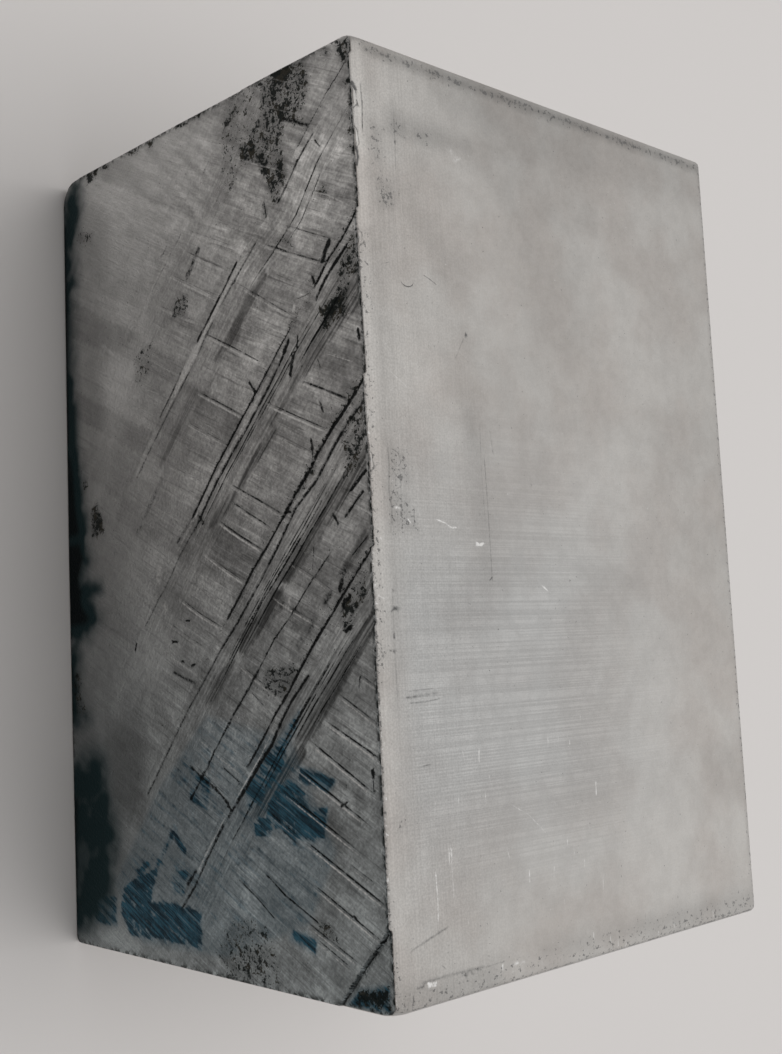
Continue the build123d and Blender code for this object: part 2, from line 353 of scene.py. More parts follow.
sawnTeal = [
    (0.75, (0, 39.9), (4, 40.5), (8, 41.3), (12, 41.8), (17, 42.3), (18, 46), (0, 46)),
    (1, (3, 42.6), (9, 42.6), (15, 42.4), (22, 42.6), (28, 42.6), (29, 46), (3, 46)),
    (0.95, (27, 42.6), (29.6, 41.8), (34, 41.3), (36.5, 40.6), (38, 42), (38, 46), (27, 46)),
    (1, (36, 41.4), (39, 40.2), (41, 41.2), (42, 38.8), (42.9, 40.9), (45, 38.6), (46.6, 41), (47, 46),
        (36, 46)),
    (0.9, (47, 42.8), (50, 42.6), (52.4, 42.9), (54.6, 41.2), (55.4, 43.6), (55, 46), (47, 46)),
    (0.75, (57.2, 40.6), (58.2, 38.7), (62, 37.1), (66, 36.5), (70, 37.4), (73.4, 38.6), (74.8, 41),
        (75, 46), (60, 46), (57.8, 43)),
    (0.9, (60.5, 41.8), (66, 42.2), (72, 42.4), (74.6, 42.6), (75.2, 46), (61, 46)),
]

# Marks on the upper side
millCuts = [
    (0.3, 0.9, (4.1, 0.05), (4.4, 0.4), (4.8, 0.6)),
    (0.3, 0.9, (9.4, 0.05), (9.8, 0.4), (10.4, 0.5), (11.1, 0.1)),
    (0.13, 0.7, (4, 1.1), (5.6, 1.2), (8.2, 1.1)),
    (0.16, 0.4, (5.2, 4.7), (8, 4.7), (11, 4.6)),
    (0.15, 0.8, (7.9, 4.7), (8.3, 4.6)),
    (0.16, 0.8, (7.4, 5.1), (7.6, 5.6)),
    (0.1, 0.7, (2.9, 4.9), (3, 5.2)),
    (0.12, 0.3, (30, 13.1), (34, 12.95), (40, 13.1)),
    (0.12, 0.45, (33, 13.4), (38, 13.5), (44.2, 13.55)),
    (0.12, 0.6, (43.4, 13.8), (43.9, 13.1)),
    (0.25, 0.3, (31, 14.3), (33.5, 14.6)),
    (0.25, 0.8, (22.9, 11.9), (23.5, 12)),
    (0.16, 0.35, (23.4, 11.8), (25.6, 10.4)),
    (0.12, 0.7, (23.5, 4.6), (23.5, 4.9)),
    (0.08, 1, (19.8, 4.5), (20.1, 4.9), (20.15, 5.4), (20, 5.8), (19.7, 6)),
    (0.08, 0.6, (18.6, 2.7), (18.4, 3.4)),
    (0.09, 0.6, (18.8, 7), (19.1, 7.9), (19.5, 8.8)),
    (0.2, 0.45, (33, 2.2), (35, 2.25), (36.8, 2.1), (38.2, 2.3), (40, 2.2)),
    (0.1, 0.6, (33.5, 2.5), (33.8, 3.3), (34.6, 3.6), (35, 3.1), (34.5, 2.6)),
    (0.1, 0.5, (35.5, 2.7), (35.9, 3.4), (36.5, 3.5), (36.7, 2.8)),
    (0.1, 0.5, (35.4, 3.8), (35.8, 4.4)),
    (0.1, 0.5, (37.8, 4.8), (39.6, 4.7)),
    (0.14, 0.8, (40.2, 0.6), (40.1, 1)),
    (0.12, 0.7, (44.5, 2), (44.7, 2.2)),
    (0.14, 0.8, (45.8, 1.8), (46, 2.2), (46.2, 1.6)),
    (0.14, 0.7, (47.9, 2), (48.4, 1.9)),
    (0.14, 0.7, (49.2, 1.2), (49.3, 2.1)),
    (0.14, 0.7, (31.4, 6.5), (31.5, 6.7)),
    (0.14, 0.7, (38, 7.4), (38.1, 7.2)),
    (0.13, 0.5, (45.6, 6.6), (45.7, 6.8)),
    (0.12, 0.5, (33.8, 5.2), (33.9, 5.1)),
    (0.13, 0.6, (35.7, 5.1), (35.8, 5.2)),
    (0.12, 0.5, (61.4, 6.1), (61.5, 6.3)),
    (0.14, 0.5, (72.7, 2.5), (72.8, 2.7)),
    (0.14, 0.6, (53.8, 1.5), (53.9, 1.7)),
    (0.3, 0.45, (52.9, 2.4), (52.8, 4.4), (52.7, 6.6)),
    (0.12, 0.4, (52.4, 3), (52.3, 6)),
    (0.25, 0.3, (44, 2), (48.6, 1.9), (53.6, 1.95)),
    (0.13, 0.5, (53.3, 3), (53.3, 5), (53.1, 6.8)),
    (0.12, 0.5, (58.2, 4), (58.1, 5.3)),
    (0.22, 0.5, (71.7, 1.9), (71.1, 4), (70.5, 6.4)),
    (0.18, 0.6, (74.4, 2.4), (74.5, 3.4)),
    (0.3, 0.42, (74.1, 2.6), (74.1, 5.6), (74.2, 10.4)),
    (0.2, 0.9, (74.3, 7.9), (74.8, 8)),
    (0.18, 0.6, (74.4, 8.4), (74.6, 9)),
    (0.15, 0.4, (74.3, 10), (74.2, 12.6)),
    (0.1, 0.5, (73.2, 5.2), (73.6, 5.8)),
]
millGlints = [
    (0.6, 0.32, (7.3, 10.6), (7.9, 11.8), (8, 12.7)),
    (0.3, 0.3, (7.2, 13.3), (7.6, 13.8)),
    (0.1, 0.35, (27.3, 2.8), (28.4, 4.6), (29.2, 6)),
    (0.22, 0.8, (38.1, 2.5), (38.2, 3.3)),
    (0.16, 0.6, (38.9, 3.9), (39.5, 4.5)),
    (0.13, 0.7, (38.9, 7.1), (39.2, 8.2), (39.6, 9), (39.5, 9.7)),
    (0.2, 1, (40.7, 11.6), (40.9, 12.2), (40.8, 12.8)),
    (0.15, 0.7, (40.7, 12), (41.1, 11.9)),
    (0.14, 0.8, (44.1, 4.7), (44.4, 4.5)),
    (0.1, 0.6, (40.4, 1), (41, 1.1)),
    (0.1, 0.5, (44.9, 0.4), (45.3, 1.1)),
    (0.14, 0.7, (44.2, 19.8), (44.8, 20.8)),
    (0.12, 0.65, (66, 5.1), (68.4, 5.2), (70.5, 5.1)),
    (0.12, 0.4, (64, 6.9), (69, 7)),
    (0.14, 0.6, (67.8, 12.3), (68.2, 12.3)),
    (0.12, 0.4, (65.2, 13.4), (66.6, 13.8)),
    (0.12, 0.35, (69.6, 6.6), (69.9, 6.7)),
    (0.26, 0.9, (74.4, 3.6), (74.5, 4.7)),
    (0.14, 0.7, (74.3, 12.2), (75, 12.2)),
    (0.35, 0.5, (74.6, 13.4), (74.8, 15)),
    (0.12, 0.35, (62, 14), (63.2, 16.4), (65, 18.6)),
]
millBurrs = [  # lumps that the saw pushed over the edge: half width, height, points
    (0.34, 0.12, (4.9, 0.2), (5.3, 0.36), (5.9, 0.2)),
    (0.36, 0.12, (8.2, 0.16), (8.7, 0.34), (9.2, 0.3)),
    (0.28, 0.1, (34.2, 0.16), (34.7, 0.28), (35.1, 0.14)),
    (0.2, 0.08, (16.6, 0.1), (17.2, 0.16)),
    (0.2, 0.08, (48.9, 0.12), (49.6, 0.12)),
]
scatteredMarks = [  # kind, count, low and high corners of where they lie, longest, strongest
    ("bright", 34, (54, 4), (74, 26), 1.5, 0.65),
    ("bright", 14, (30, 3), (52, 24), 0.5, 0.6),
    ("bright", 16, (73.6, 4), (75.6, 44), 1, 0.8),
    ("dark", 22, (73.4, 1), (75.8, 46), 0.8, 0.85),
    ("dark", 26, (3, 3), (72, 30), 0.22, 0.75),
    ("dark", 12, (3, 30), (72, 48), 0.25, 0.6),
]
dottedLine = {
    "path": ((1.3, 1.7), (1.1, 4.2), (1, 7), (1.1, 12), (1, 48.6)),
    "gap": 0.7,
    "spread": 0.12,
    "length": (0.1, 0.4),
    "halfWidth": (0.16, 0.3),
    "dark": (0.2, 0.9),
}
millGrime = [
    (0.6, (0.1, 1.3), (0.9, 1.3), (0.9, 2.1), (0.1, 2.1)),
    (0.68, (7, 2), (10.4, 2), (10.4, 3.1), (7.2, 3.1)),
    (0.95, (9.2, 2.3), (10.3, 2.2), (10.3, 2.9), (9.3, 2.9)),
    (0.8, (11.5, 2.4), (14, 2.5), (13.7, 4.5), (12, 4.5)),
    (0.65, (6.4, 3.9), (7.6, 3.9), (7.5, 5.8), (6.5, 5.6)),
    (0.7, (6.6, 7.1), (7.5, 7.1), (7.3, 8.8), (6.7, 8.7)),
    (0.5, (16, 0), (52, 0), (52, 0.9), (16, 1.2)),
    (0.5, (28, 0), (38, 0), (37, 1.1), (28.5, 0.9)),
    (0.62, (36, 2.1), (40, 2), (39.9, 5), (38, 4.6), (36.6, 3)),
    (0.58, (33.2, 2.3), (37, 2.3), (36, 4.6), (33.6, 4.2)),
    (0.45, (61.8, 1), (63, 1.2), (62.9, 2.4), (62.3, 2.2)),
    (0.45, (48.4, 0.2), (50.8, 0.2), (50.4, 1.3), (48.8, 1.2)),
    (0.5, (60, 0), (76.2, 0), (76.2, 1), (74.8, 1.4), (71, 0.6)),
    (0.5, (74.6, 0.8), (76.2, 0.8), (76.2, 8.6), (75, 6)),
]
millTones = [  # lighter (+) and darker (-) areas
    (-0.34, (5.6, 4.2), (7.2, 4.2), (7.4, 9), (7, 13.6), (6.2, 13.4), (5.7, 9)),
    (-0.12, (5.7, 13), (6.7, 13), (6.5, 22), (5.9, 22)),
    (-0.1, (0, 14), (9, 14), (12.5, 20), (11.5, 31), (0, 32)),
    # painted highlight along the filed strip at the sawn edge
    (0.14, (1.2, 0.5), (75, 0.5), (75, 1.1), (1.2, 1.3)),
    (0.06, (8, 3.2), (30, 3), (29, 8.6), (12, 9)),
    (-0.1, (27, 10.9), (33, 11), (44, 12.4), (44, 13.9), (33, 13.6), (27, 12.6)),
    (-0.06, (13, 20), (24, 20.5), (23.4, 28.6), (14, 28.4)),
    (0.07, (31.5, 22), (39.4, 22.4), (38.8, 36.6), (30.6, 34)),
    (0.05, (14, 29.6), (28, 30), (27, 40), (15, 38)),
    (-0.07, (28, 37.4), (34.6, 38.6), (34.8, 49.5), (27.6, 49.5)),
    (-0.08, (37.8, 40.2), (42.6, 41), (43.6, 49.5), (37.4, 49.5)),
    (-0.07, (42.4, 25), (46.2, 26), (45.4, 35.4), (43, 35)),
    (-0.07, (60, 21.6), (63.2, 22), (62.8, 27.6), (60, 27)),
    (-0.08, (60, 42), (64, 43), (65, 49.5), (59.6, 49.5)),
    (0.05, (52, 33), (60, 33), (59, 49.5), (51.6, 49.5)),
    (0.05, (64, 28), (73.4, 28), (73.4, 49.5), (65.8, 49.5)),
    (-0.16, (73.5, 17), (75.1, 17), (75.2, 49.5), (73.6, 49.5)),
    (-0.1, (16, 1.2), (34, 1.2), (34, 2.6), (18, 3.2)),
    (-0.12, (32, 1.4), (54, 1), (54, 2.4), (34, 2.6)),
    (-0.12, (30, 11.2), (32.6, 11.3), (32.6, 13), (29.8, 12.8)),
    (-0.14, (0, 9), (3, 9), (6, 22), (5, 49.5), (0, 49.5)),
    (0.1, (1.8, 2), (6, 2), (5.4, 9), (2.2, 8.6)),
    (0.08, (7.2, 9), (12, 8), (24, 14), (22, 20), (9, 16)),
    (0.06, (26, 4), (33, 5), (33, 11), (26, 10)),
    (-0.06, (42, 2), (48, 2), (48, 16), (42, 18)),
    (-0.08, (10, 4), (12, 4), (20, 10), (18, 14)),
    (-0.14, (73.9, 0), (76.2, 0), (76.2, 12), (74.2, 12)),
    (0.12, (74.2, 12), (76.2, 12), (76.2, 32), (74.4, 30)),
]


def sizes(face):
    return [2 * abs(float(np.dot(direction, half))) for direction in faces[face][1:3]]


def boxPoint(face, uv):  # a point on the plain box, mm from its middle
    corner, u, v, _ = (np.array(part, float) for part in faces[face])
    return corner * half + uv[:, :1] * u + uv[:, 1:] * v


def neighbour(direction):  # the face that looks that way
    return next(name for name, face in faces.items() if tuple(face[3]) == tuple(direction))


def within(points, face, margin):  # which points lie further than the margin from the face's edges
    return ((points > margin) & (points < np.array(sizes(face)) - margin)).all(1)


def outline(face, inset=0.0):  # points along the four edges of a face, moved in by the inset
    rows = []
    for axis in (1, 0):
        length, reach = sizes(face)[1 - axis], sizes(face)[axis]
        for sign, at in ((-1, inset), (1, reach - inset)):
            other = neighbour([sign * part for part in faces[face][1 + axis]])
            spacing = min(block["edgeSpacing"][face], block["edgeSpacing"][other])
            stops = np.linspace(0, length, round(length / spacing) + 1)
            row = np.column_stack((stops, np.full(len(stops), at)))
            rows.append(row if axis else row[:, ::-1])
    found = np.vstack(rows)
    return found[within(found, face, inset - tiny)]


def evenly(points, spacing):  # points and unit directions, evenly spaced along a line of straight runs
    points = np.array(points, float)
    runs = np.diff(points, axis=0)
    lengths = np.hypot(*runs.T)
    ends = np.concatenate(([0], np.cumsum(lengths)))
    at = np.linspace(0, ends[-1], max(int(ends[-1] / spacing), 1) + 1)
    place = np.column_stack([np.interp(at, ends, points[:, axis]) for axis in (0, 1)])
    run = np.clip(np.searchsorted(ends, at, side="right") - 1, 0, len(runs) - 1)
    return place, runs[run] / lengths[run][:, None]


def rowsBeside(points, offsets, spacing):
    place, direction = evenly(points, spacing)
    side = np.column_stack((direction[:, 1], -direction[:, 0]))  # up and to the right of a falling line
    return np.vstack([place + side * offset for offset in offsets])


def beside(uv, points):  # signed distance from a line (+ is up and right of it), and distance along it
    points = np.array(points, float)
    best = np.full(len(uv), np.inf)
    signed, along = np.zeros((2, len(uv)))
    start = 0.0
    last = len(points) - 2
    for index, (a, b) in enumerate(zip(points[:-1], points[1:])):
        run = b - a
        length = math.hypot(*run)
        unit = run / length
        t = (uv - a) @ unit
        held = np.clip(t, 0 if index else -np.inf, np.inf if index == last else length)
        away = np.hypot(*(uv - a - held[:, None] * unit).T)
        across = (uv - a) @ np.array((unit[1], -unit[0]))
        nearer = away < best
        best[nearer] = away[nearer]
        signed[nearer] = np.copysign(away, across)[nearer]
        along[nearer] = (start + t)[nearer]
        start += length
    return signed, along


def insideBy(uv, corners):  # how far inside a closed outline each uv lies, below zero outside
    corners = np.array(corners, float)
    nearest = np.full(len(uv), np.inf)
    crossings = np.zeros(len(uv), int)
    for a, b in zip(corners, np.roll(corners, -1, 0)):
        run = b - a
        t = np.clip((uv - a) @ run / (run @ run), 0, 1)
        nearest = np.minimum(nearest, np.hypot(*(uv - a - t[:, None] * run).T))
        spans = (a[1] > uv[:, 1]) != (b[1] > uv[:, 1])
        crossings += spans & (uv[:, 0] < a[0] + (uv[:, 1] - a[1]) / (run[1] or tiny) * run[0])
    return np.where(crossings % 2, nearest, -nearest)


def ramp(value, low, high):
    return np.clip((value - low) / (high - low), 0, 1)


def cells(points, size):  # one whole number for each square of a grid
    row, column = np.floor(points / size).astype(np.int64).T
    return row * 100000 + column


def clearOf(points, kept, gap):  # the points that have none of the kept ones near
    taken = np.unique(cells(kept, gap))
    near = np.zeros(len(points), bool)
    for du in (-gap, 0, gap):
        for dv in (-gap, 0, gap):
            near |= np.isin(cells(points + (du, dv), gap), taken)
    return points[~near]


def thinned(points, gap):
    _, first = np.unique(cells(points, gap), return_index=True)
    return points[np.sort(first)]


random = np.random.default_rng(block["seed"])
marks = {"sawn": [], "top": []}

# Chatter rungs that run down and left from each step, one for each tooth
rungs = {
    "pitch": 2.6,
    "angle": 63.0,
    "angleSpread": 2.0,
    "lean": 0.325,  # how far a rung moves along the step for each mm away from it
    "jitter": 0.24,
    "shares": (0.03, 0.5, 1.0),  # where its points lie on its length
    "wobble": 0.05,
    "halfWidth": 0.13,
    "widths": (0.7, 1.3),
    "reach": (3.0, 9.4, 9.2, 8.6, 7.4, 0.0),
    "reaches": (0.7, 1.1),
    "strengths": (0.35, 1.0),
    "fadeDown": (30, 14),
    "dark": (0.0, 0.42, 0.56, 0.62, 0.56, 0.0),
    "depth": 0.06,
    "lit": (0.0, 0.9, 1.0, 1.0, 0.9, 0.0),
    "litShares": (0.5, 1.0),
    "litSide": (0.23, 0.13),
    "litHalfWidth": 0.16,
    "cells": 40,  # fields between the rungs, each of its own tone
    "toneSpread": 0.5,
    "tone": 0.35,
    # grit beside each step: dirt specks, and painted shade
    "grit": (0.0, 0.35, 0.75, 0.95, 0.85, 0.15),
    "gritReach": 0.75,
    "gritFade": (36, 4),
}
# Fine dark lines that the side of the blade dragged along each band: how many, how far they run, how dark
dragLines = {
    "count": (0, 2, 4, 5, 6),
    "away": (1.1, 4.2),
    "run": (12.0, 34.0),
    "wobble": 0.03,
    "halfWidth": (0.08, 0.15),
    "dark": (0.45, 0.95),
}
cutFade = {"share": 0.6, "down": (14, 30)}  # the cuts show less towards the lower edge
fan = {"share": 0.75, "lit": 0.14, "dark": 0.15, "shadow": (0.24, 0.12)}
scatter = {"shortest": 0.12, "lean": 0.08, "halfWidth": (0.07, 0.13), "weakest": 0.3}


# A mark fades at both ends, over a share of its length
def addMark(face, kind, halfWidth, strength, points, depth=0.0, fade=0.12):
    mark = {"kind": kind, "half": halfWidth, "strength": strength, "depth": depth, "fade": fade}
    marks[face].append({**mark, "points": np.array(points, float)})


def addRungs():  # a dark and a lit line for each tooth, down and left from each step
    for index, step in enumerate(sawSteps):
        if not rungs["reach"][index]:
            continue
        for start in evenly(step, rungs["pitch"])[0][1:]:
            start = start + random.normal(0, rungs["jitter"], 2)
            turn = math.radians(rungs["angle"] + random.normal(0, rungs["angleSpread"]))
            down = np.array((-math.cos(turn), math.sin(turn)))
            reach = rungs["reach"][index] * random.uniform(*rungs["reaches"])
            points = start + np.outer(rungs["shares"], down) * reach
            points = points + random.normal(0, rungs["wobble"], points.shape)
            strength = random.uniform(*rungs["strengths"]) * (0.3 + 0.7 * ramp(start[1], *rungs["fadeDown"]))
            halfWidth = rungs["halfWidth"] * random.uniform(*rungs["widths"])
            dark = rungs["dark"][index] * strength
            addMark("sawn", "dark", halfWidth, dark, points, rungs["depth"] * strength, fade=0.2)
            lit = rungs["lit"][index] * random.uniform(*rungs["litShares"]) * strength
            points = points + rungs["litSide"]
            addMark("sawn", "bright", rungs["litHalfWidth"], lit, points, depth=-0.03, fade=0.15)


def addDragLines():  # along each band
    pitch = rungs["pitch"]
    for index, count in enumerate(dragLines["count"]):
        for _ in range(count):
            line = rowsBeside(sawSteps[index], (random.uniform(*dragLines["away"]),), pitch)
            first = int(random.integers(0, 4))
            line = line[first:first + max(int(random.uniform(*dragLines["run"]) / pitch), 2)]
            points = line + random.normal(0, dragLines["wobble"], line.shape)
            points = points[points[:, 1] > 0.1]
            halfWidth, dark = (random.uniform(*dragLines[name]) for name in ("halfWidth", "dark"))
            addMark("sawn", "dark", halfWidth, dark, points, depth=0.03, fade=0.3)


def addSawnMarks():
    # cuts: dark marks, with painted shade in the step creases
    for halfWidth, strength, *points in sawnCutsAndCreaseShade:
        strength *= 1 - cutFade["share"] * float(ramp(np.mean(points, 0)[1], *cutFade["down"]))
        addMark("sawn", "dark", halfWidth, strength, points, depth=0.1 * strength, fade=0.03)
    # painted highlights on the ridges
    for halfWidth, strength, *points in sawnRidgeHighlights:
        addMark("sawn", "bright", halfWidth, strength, points, depth=-0.03, fade=0.2)
    for halfWidth, strength, *points in sawnBlots:
        addMark("sawn", "dark", halfWidth, strength, points, fade=0)
    for strength, *points in fanScratches:
        strength *= fan["share"]
        # a painted highlight on the scratch, and a painted shadow beside it
        addMark("sawn", "bright", fan["lit"], strength, points, depth=-0.03, fade=0.2)
        points = np.array(points) - fan["shadow"]
        addMark("sawn", "dark", fan["dark"], strength, points, depth=0.05, fade=0.2)
    addRungs()
    addDragLines()


def addMillMarks():
    for kind, rows, depth in (("dark", millCuts, 0.02), ("bright", millGlints, -0.005)):
        for halfWidth, strength, *points in rows:
            addMark("top", kind, halfWidth, strength, points, depth, fade=0.1)
    for halfWidth, height, *points in millBurrs:
        first, last = points[0][0], points[-1][0]
        # A painted shadow lies around the lump, and a painted highlight on it
        around = [(first - 0.5, 0.02), (first - 0.1, 0.6), (first + 0.4, 0.55)]
        around += [(last, 0.75), (last + 0.5, 0.02)]
        addMark("top", "dark", 0.13, 0.65, around, depth=0.02, fade=0)
        addMark("top", "bright", halfWidth, 0.3, points, depth=-height, fade=0)
    for place in evenly(dottedLine["path"], dottedLine["gap"])[0]:
        start = place + random.normal(0, dottedLine["spread"], 2)
        end = start + (random.normal(0, 0.06), random.uniform(*dottedLine["length"]))
        halfWidth, dark = (random.uniform(*dottedLine[name]) for name in ("halfWidth", "dark"))
        addMark("top", "dark", halfWidth, dark, [start, end])
    for kind, count, low, high, reach, strongest in scatteredMarks:
        for start in random.uniform(low, high, (count, 2)):
            end = start + (random.uniform(scatter["shortest"], reach), random.normal(0, scatter["lean"]))
            halfWidth = random.uniform(*scatter["halfWidth"])
            strength = random.uniform(scatter["weakest"], strongest)
            addMark("top", kind, halfWidth, strength, [start, end], fade=0.2)


def markFields(face, uv):  # depth, dark and bright of all the marks at each uv
    found = {name: np.zeros(len(uv)) for name in ("depth", "dark", "bright")}
    for mark in marks.get(face, []):
        points = mark["points"]
        low, high = points.min(0) - mark["half"], points.max(0) + mark["half"]
        near = np.flatnonzero(((uv >= low) & (uv <= high)).all(1))
        if not len(near):
            continue
        across, along = beside(uv[near], points)
        length = np.hypot(*np.diff(points, axis=0).T).sum()
        before = np.minimum(along, length - along)  # the end of the mark
        share = np.clip(1 + before / mark["half"], 0, 1)
        if mark["fade"]:
            share = share * np.clip(0.3 + 0.7 * before / (mark["fade"] * length), 0, 1)
        profile = np.clip(1.6 * (1 - np.abs(across) / mark["half"]), 0, 1) * share  # flat along the middle
        found["depth"][near] += mark["depth"] * profile
        kind = found[mark["kind"]]
        kind[near] = np.maximum(kind[near], mark["strength"] * profile)
    return found


sawShape = {  # mm; where there are six values, one for each step
    "facetWidth": 8.5,
    "facetDepth": (0.1, 0.3, 0.35, 0.35, 0.35, 0.0),
    "facetRun": 54.0,
    "ridgeWidth": 1.0,
    "bandWidth": 4.3,
    "bandDepth": (0.03, 0.1, 0.16, 0.16, 0.16, 0.0),
    "bandRun": (30.0, 40.0, 46.0, 38.0, 34.0, 1.0),
    "bandRub": (0.5, 0.5, 0.9, 1.0, 1.0, 0.0),
    "bandNear": (0.9, 1.3),  # where a band's borders begin and end
    "bandFar": (0.1, -0.3),  # from its width
    "rubFade": (62, 20),
    "cornerDepth": 0.3,
    "entryHeight": 4.2,
    "entryRun": 40.0,
    "entryDepth": 0.3,
}


def sawnDepth(uv):  # how far the sawn face lies below its plain plane
    shape = sawShape
    depth = np.zeros(len(uv))
    for index, step in enumerate(sawSteps):
        across, along = beside(uv, step)
        facet = shape["facetDepth"][index] * (1 - along / shape["facetRun"] + across / shape["facetWidth"])
        slope = ramp(across, shape["ridgeWidth"], shape["bandWidth"])
        band = shape["bandDepth"][index] * slope * (1 - along / shape["bandRun"][index])
        band[across > shape["bandWidth"]] = 0
        if index == len(sawSteps) - 1:
            band = np.full(len(uv), shape["cornerDepth"])
        depth = np.maximum(depth, np.where(across < 0, facet, band))
    aboveBottom = sizes("sawn")[1] - uv[:, 1]
    reach = shape["entryHeight"] * (1 - uv[:, 0] / shape["entryRun"]) - aboveBottom
    depth = np.maximum(depth, shape["entryDepth"] * reach / shape["entryHeight"])
    return depth + markFields("sawn", uv)["depth"]


def seeds(face):  # the points that a face's triangles stand on
    kept = outline(face)
    traced = []
    if face == "sawn":
        bandRows = np.array(block["bandRows"]) + sawShape["bandWidth"]
        for step in sawSteps:
            traced.append(rowsBeside(step, block["stepRows"], block["rowSpacing"]))
            traced.append(rowsBeside(step, bandRows, block["bandRowSpacing"]))
    for mark in marks.get(face, []):
        if mark["half"] < block["widestTraced"]:
            traced.append(rowsBeside(mark["points"], (-mark["half"], 0, mark["half"]), block["rowSpacing"]))
    if traced:
        traced = np.vstack(traced)
        traced = traced[within(traced, face, block["rowMargin"])]
        kept = np.vstack((kept, thinned(traced, block["rowGap"])))
    for inset in block["edgeRows"]:
        kept = np.vstack((kept, clearOf(outline(face, inset), kept, block["edgeRowGap"])))
    spacing = block["spacing"][face]
    grid = np.meshgrid(*(np.arange(spacing, reach, spacing) for reach in sizes(face)))
    grid = np.stack(grid, -1).reshape(-1, 2)
    grid = grid + random.uniform(-block["gridShift"], block["gridShift"], grid.shape) * spacing
    grid = grid[within(grid, face, block["gridMargin"])]
    return np.vstack((kept, clearOf(grid, kept, min(spacing * 0.45, block["gridGap"]))))


def facePatch(face):  # the face's own points and triangles, in uv
    found = delaunay_2d_cdt([Vector(point) for point in seeds(face)], [], [], 0, 1e-5)
    uv = np.array([tuple(point) for point in found[0]])
    triangles = np.array(found[2], int)
    _, u, v, normal = (np.array(part, float) for part in faces[face])
    if np.dot(np.cross(u, v), normal) < 0:
        triangles = triangles[:, ::-1]
    print("  face", face, len(uv), "points", len(triangles), "triangles")
    return uv, triangles


def rolled(box):  # the plain box with its edges rolled over, mm from its middle
    found = box.copy()
    section, reach = box[:, (0, 2)], half[[0, 2]]
    out = np.sign(section)
    over = np.abs(section) - (reach - block["cornerRadius"])
    corner = (over > 0).all(1)
    ratio = over.max(1) / np.maximum(np.hypot(*over.T), tiny)
    new = out * (reach - block["cornerRadius"] + over * ratio[:, None])
    found[np.ix_(corner, (0, 2))] = new[corner]
    inward = np.zeros((len(box), 2))
    inward[np.arange(len(box)), over.argmax(1)] = 1
    inward[corner] = over[corner] / np.hypot(*over[corner].T)[:, None]
    edge = np.where(box[:, 1] < 0, block["sawnEdgeRadius"], block["farEdgeRadius"])
    a = edge - (reach - np.abs(section)).min(1)
    b = edge - (half[1] - np.abs(box[:, 1]))
    ratio = np.maximum(a, b) / np.maximum(np.hypot(a, b), tiny)
    near = (a > 0) & (b > 0)
    found[:, (0, 2)] -= out * inward * np.where(near, a * (1 - ratio), 0)[:, None]
    found[:, 1] -= np.sign(box[:, 1]) * np.where(near, b * (1 - ratio), 0)
    return found


def shaped(box):  # the finished place of each point of the plain box
    found = rolled(box)
    fromLeft, fromSawn, belowTop = (box[:, 0] + half[0], box[:, 1] + half[1], half[2] - box[:, 2])
    nearSawn = np.clip(1 - fromSawn / block["blend"], 0, 1)
    at = np.flatnonzero(nearSawn > 0)
    found[at, 1] += sawnDepth(np.column_stack((fromLeft, belowTop))[at]) * nearSawn[at]
    nearTop = np.clip(1 - belowTop / block["blend"], 0, 1)
    strip = block["stripDrop"] * np.clip(1 - fromSawn / block["stripWidth"], 0, 1)
    found[:, 2] -= strip * nearTop
    at = np.flatnonzero(nearTop > 0)
    found[at, 2] -= markFields("top", np.column_stack((fromLeft, fromSawn))[at])["depth"] * nearTop[at]
    for corner, reach in block["knocks"].items():
        away = (half - found * corner).sum(1)
        at = np.flatnonzero(away < reach)
        push = (away[at] ** 2 + reach**2) / (2 * reach) - away[at]
        found[at] -= np.array(corner) * push[:, None] / 3
    limit = half - block["skin"]
    return np.clip(found, -limit, limit)


# Soft-edged patches at each uv: the strongest of them, or their sum where join is np.add
def patchField(uv, patches, soft, join=np.maximum):
    found = np.zeros(len(uv))
    for strength, *corners in patches:
        found = join(found, strength * ramp(insideBy(uv, corners), -soft, soft))
    return found


def passOf(uv):  # the saw pass whose band or ladder each uv lies in
    found = np.zeros(len(uv), int)
    for index, step in enumerate(sawSteps):
        found[beside(uv, step)[0] > 0] = index
    return found


passGap, faceGap = 40.0, 100.0  # mm between the places of two passes or two faces, so that none repeats


def passPlace(uv, passes):  # how far along and across its pass each uv lies
    found = np.zeros((len(uv), 3))
    for index, step in enumerate(sawSteps):
        mine = passes == index
        if mine.any():
            across, along = beside(uv[mine], step)
            found[mine, 0], found[mine, 1] = along + passGap * index, across
    return found


# How soft the borders of each kind of patch are, mm
softness = {"smear": 0.09, "grime": 0.35, "dye": 0.35, "teal": 2.0, "sawnTone": 1.1, "millTone": 0.9}
# How much of the fine texture stays towards the lower edge and the left side
crispness = {"below": 0.3, "fall": 0.14, "down": (30, 12), "left": 0.74, "fromLeft": (3, 13)}


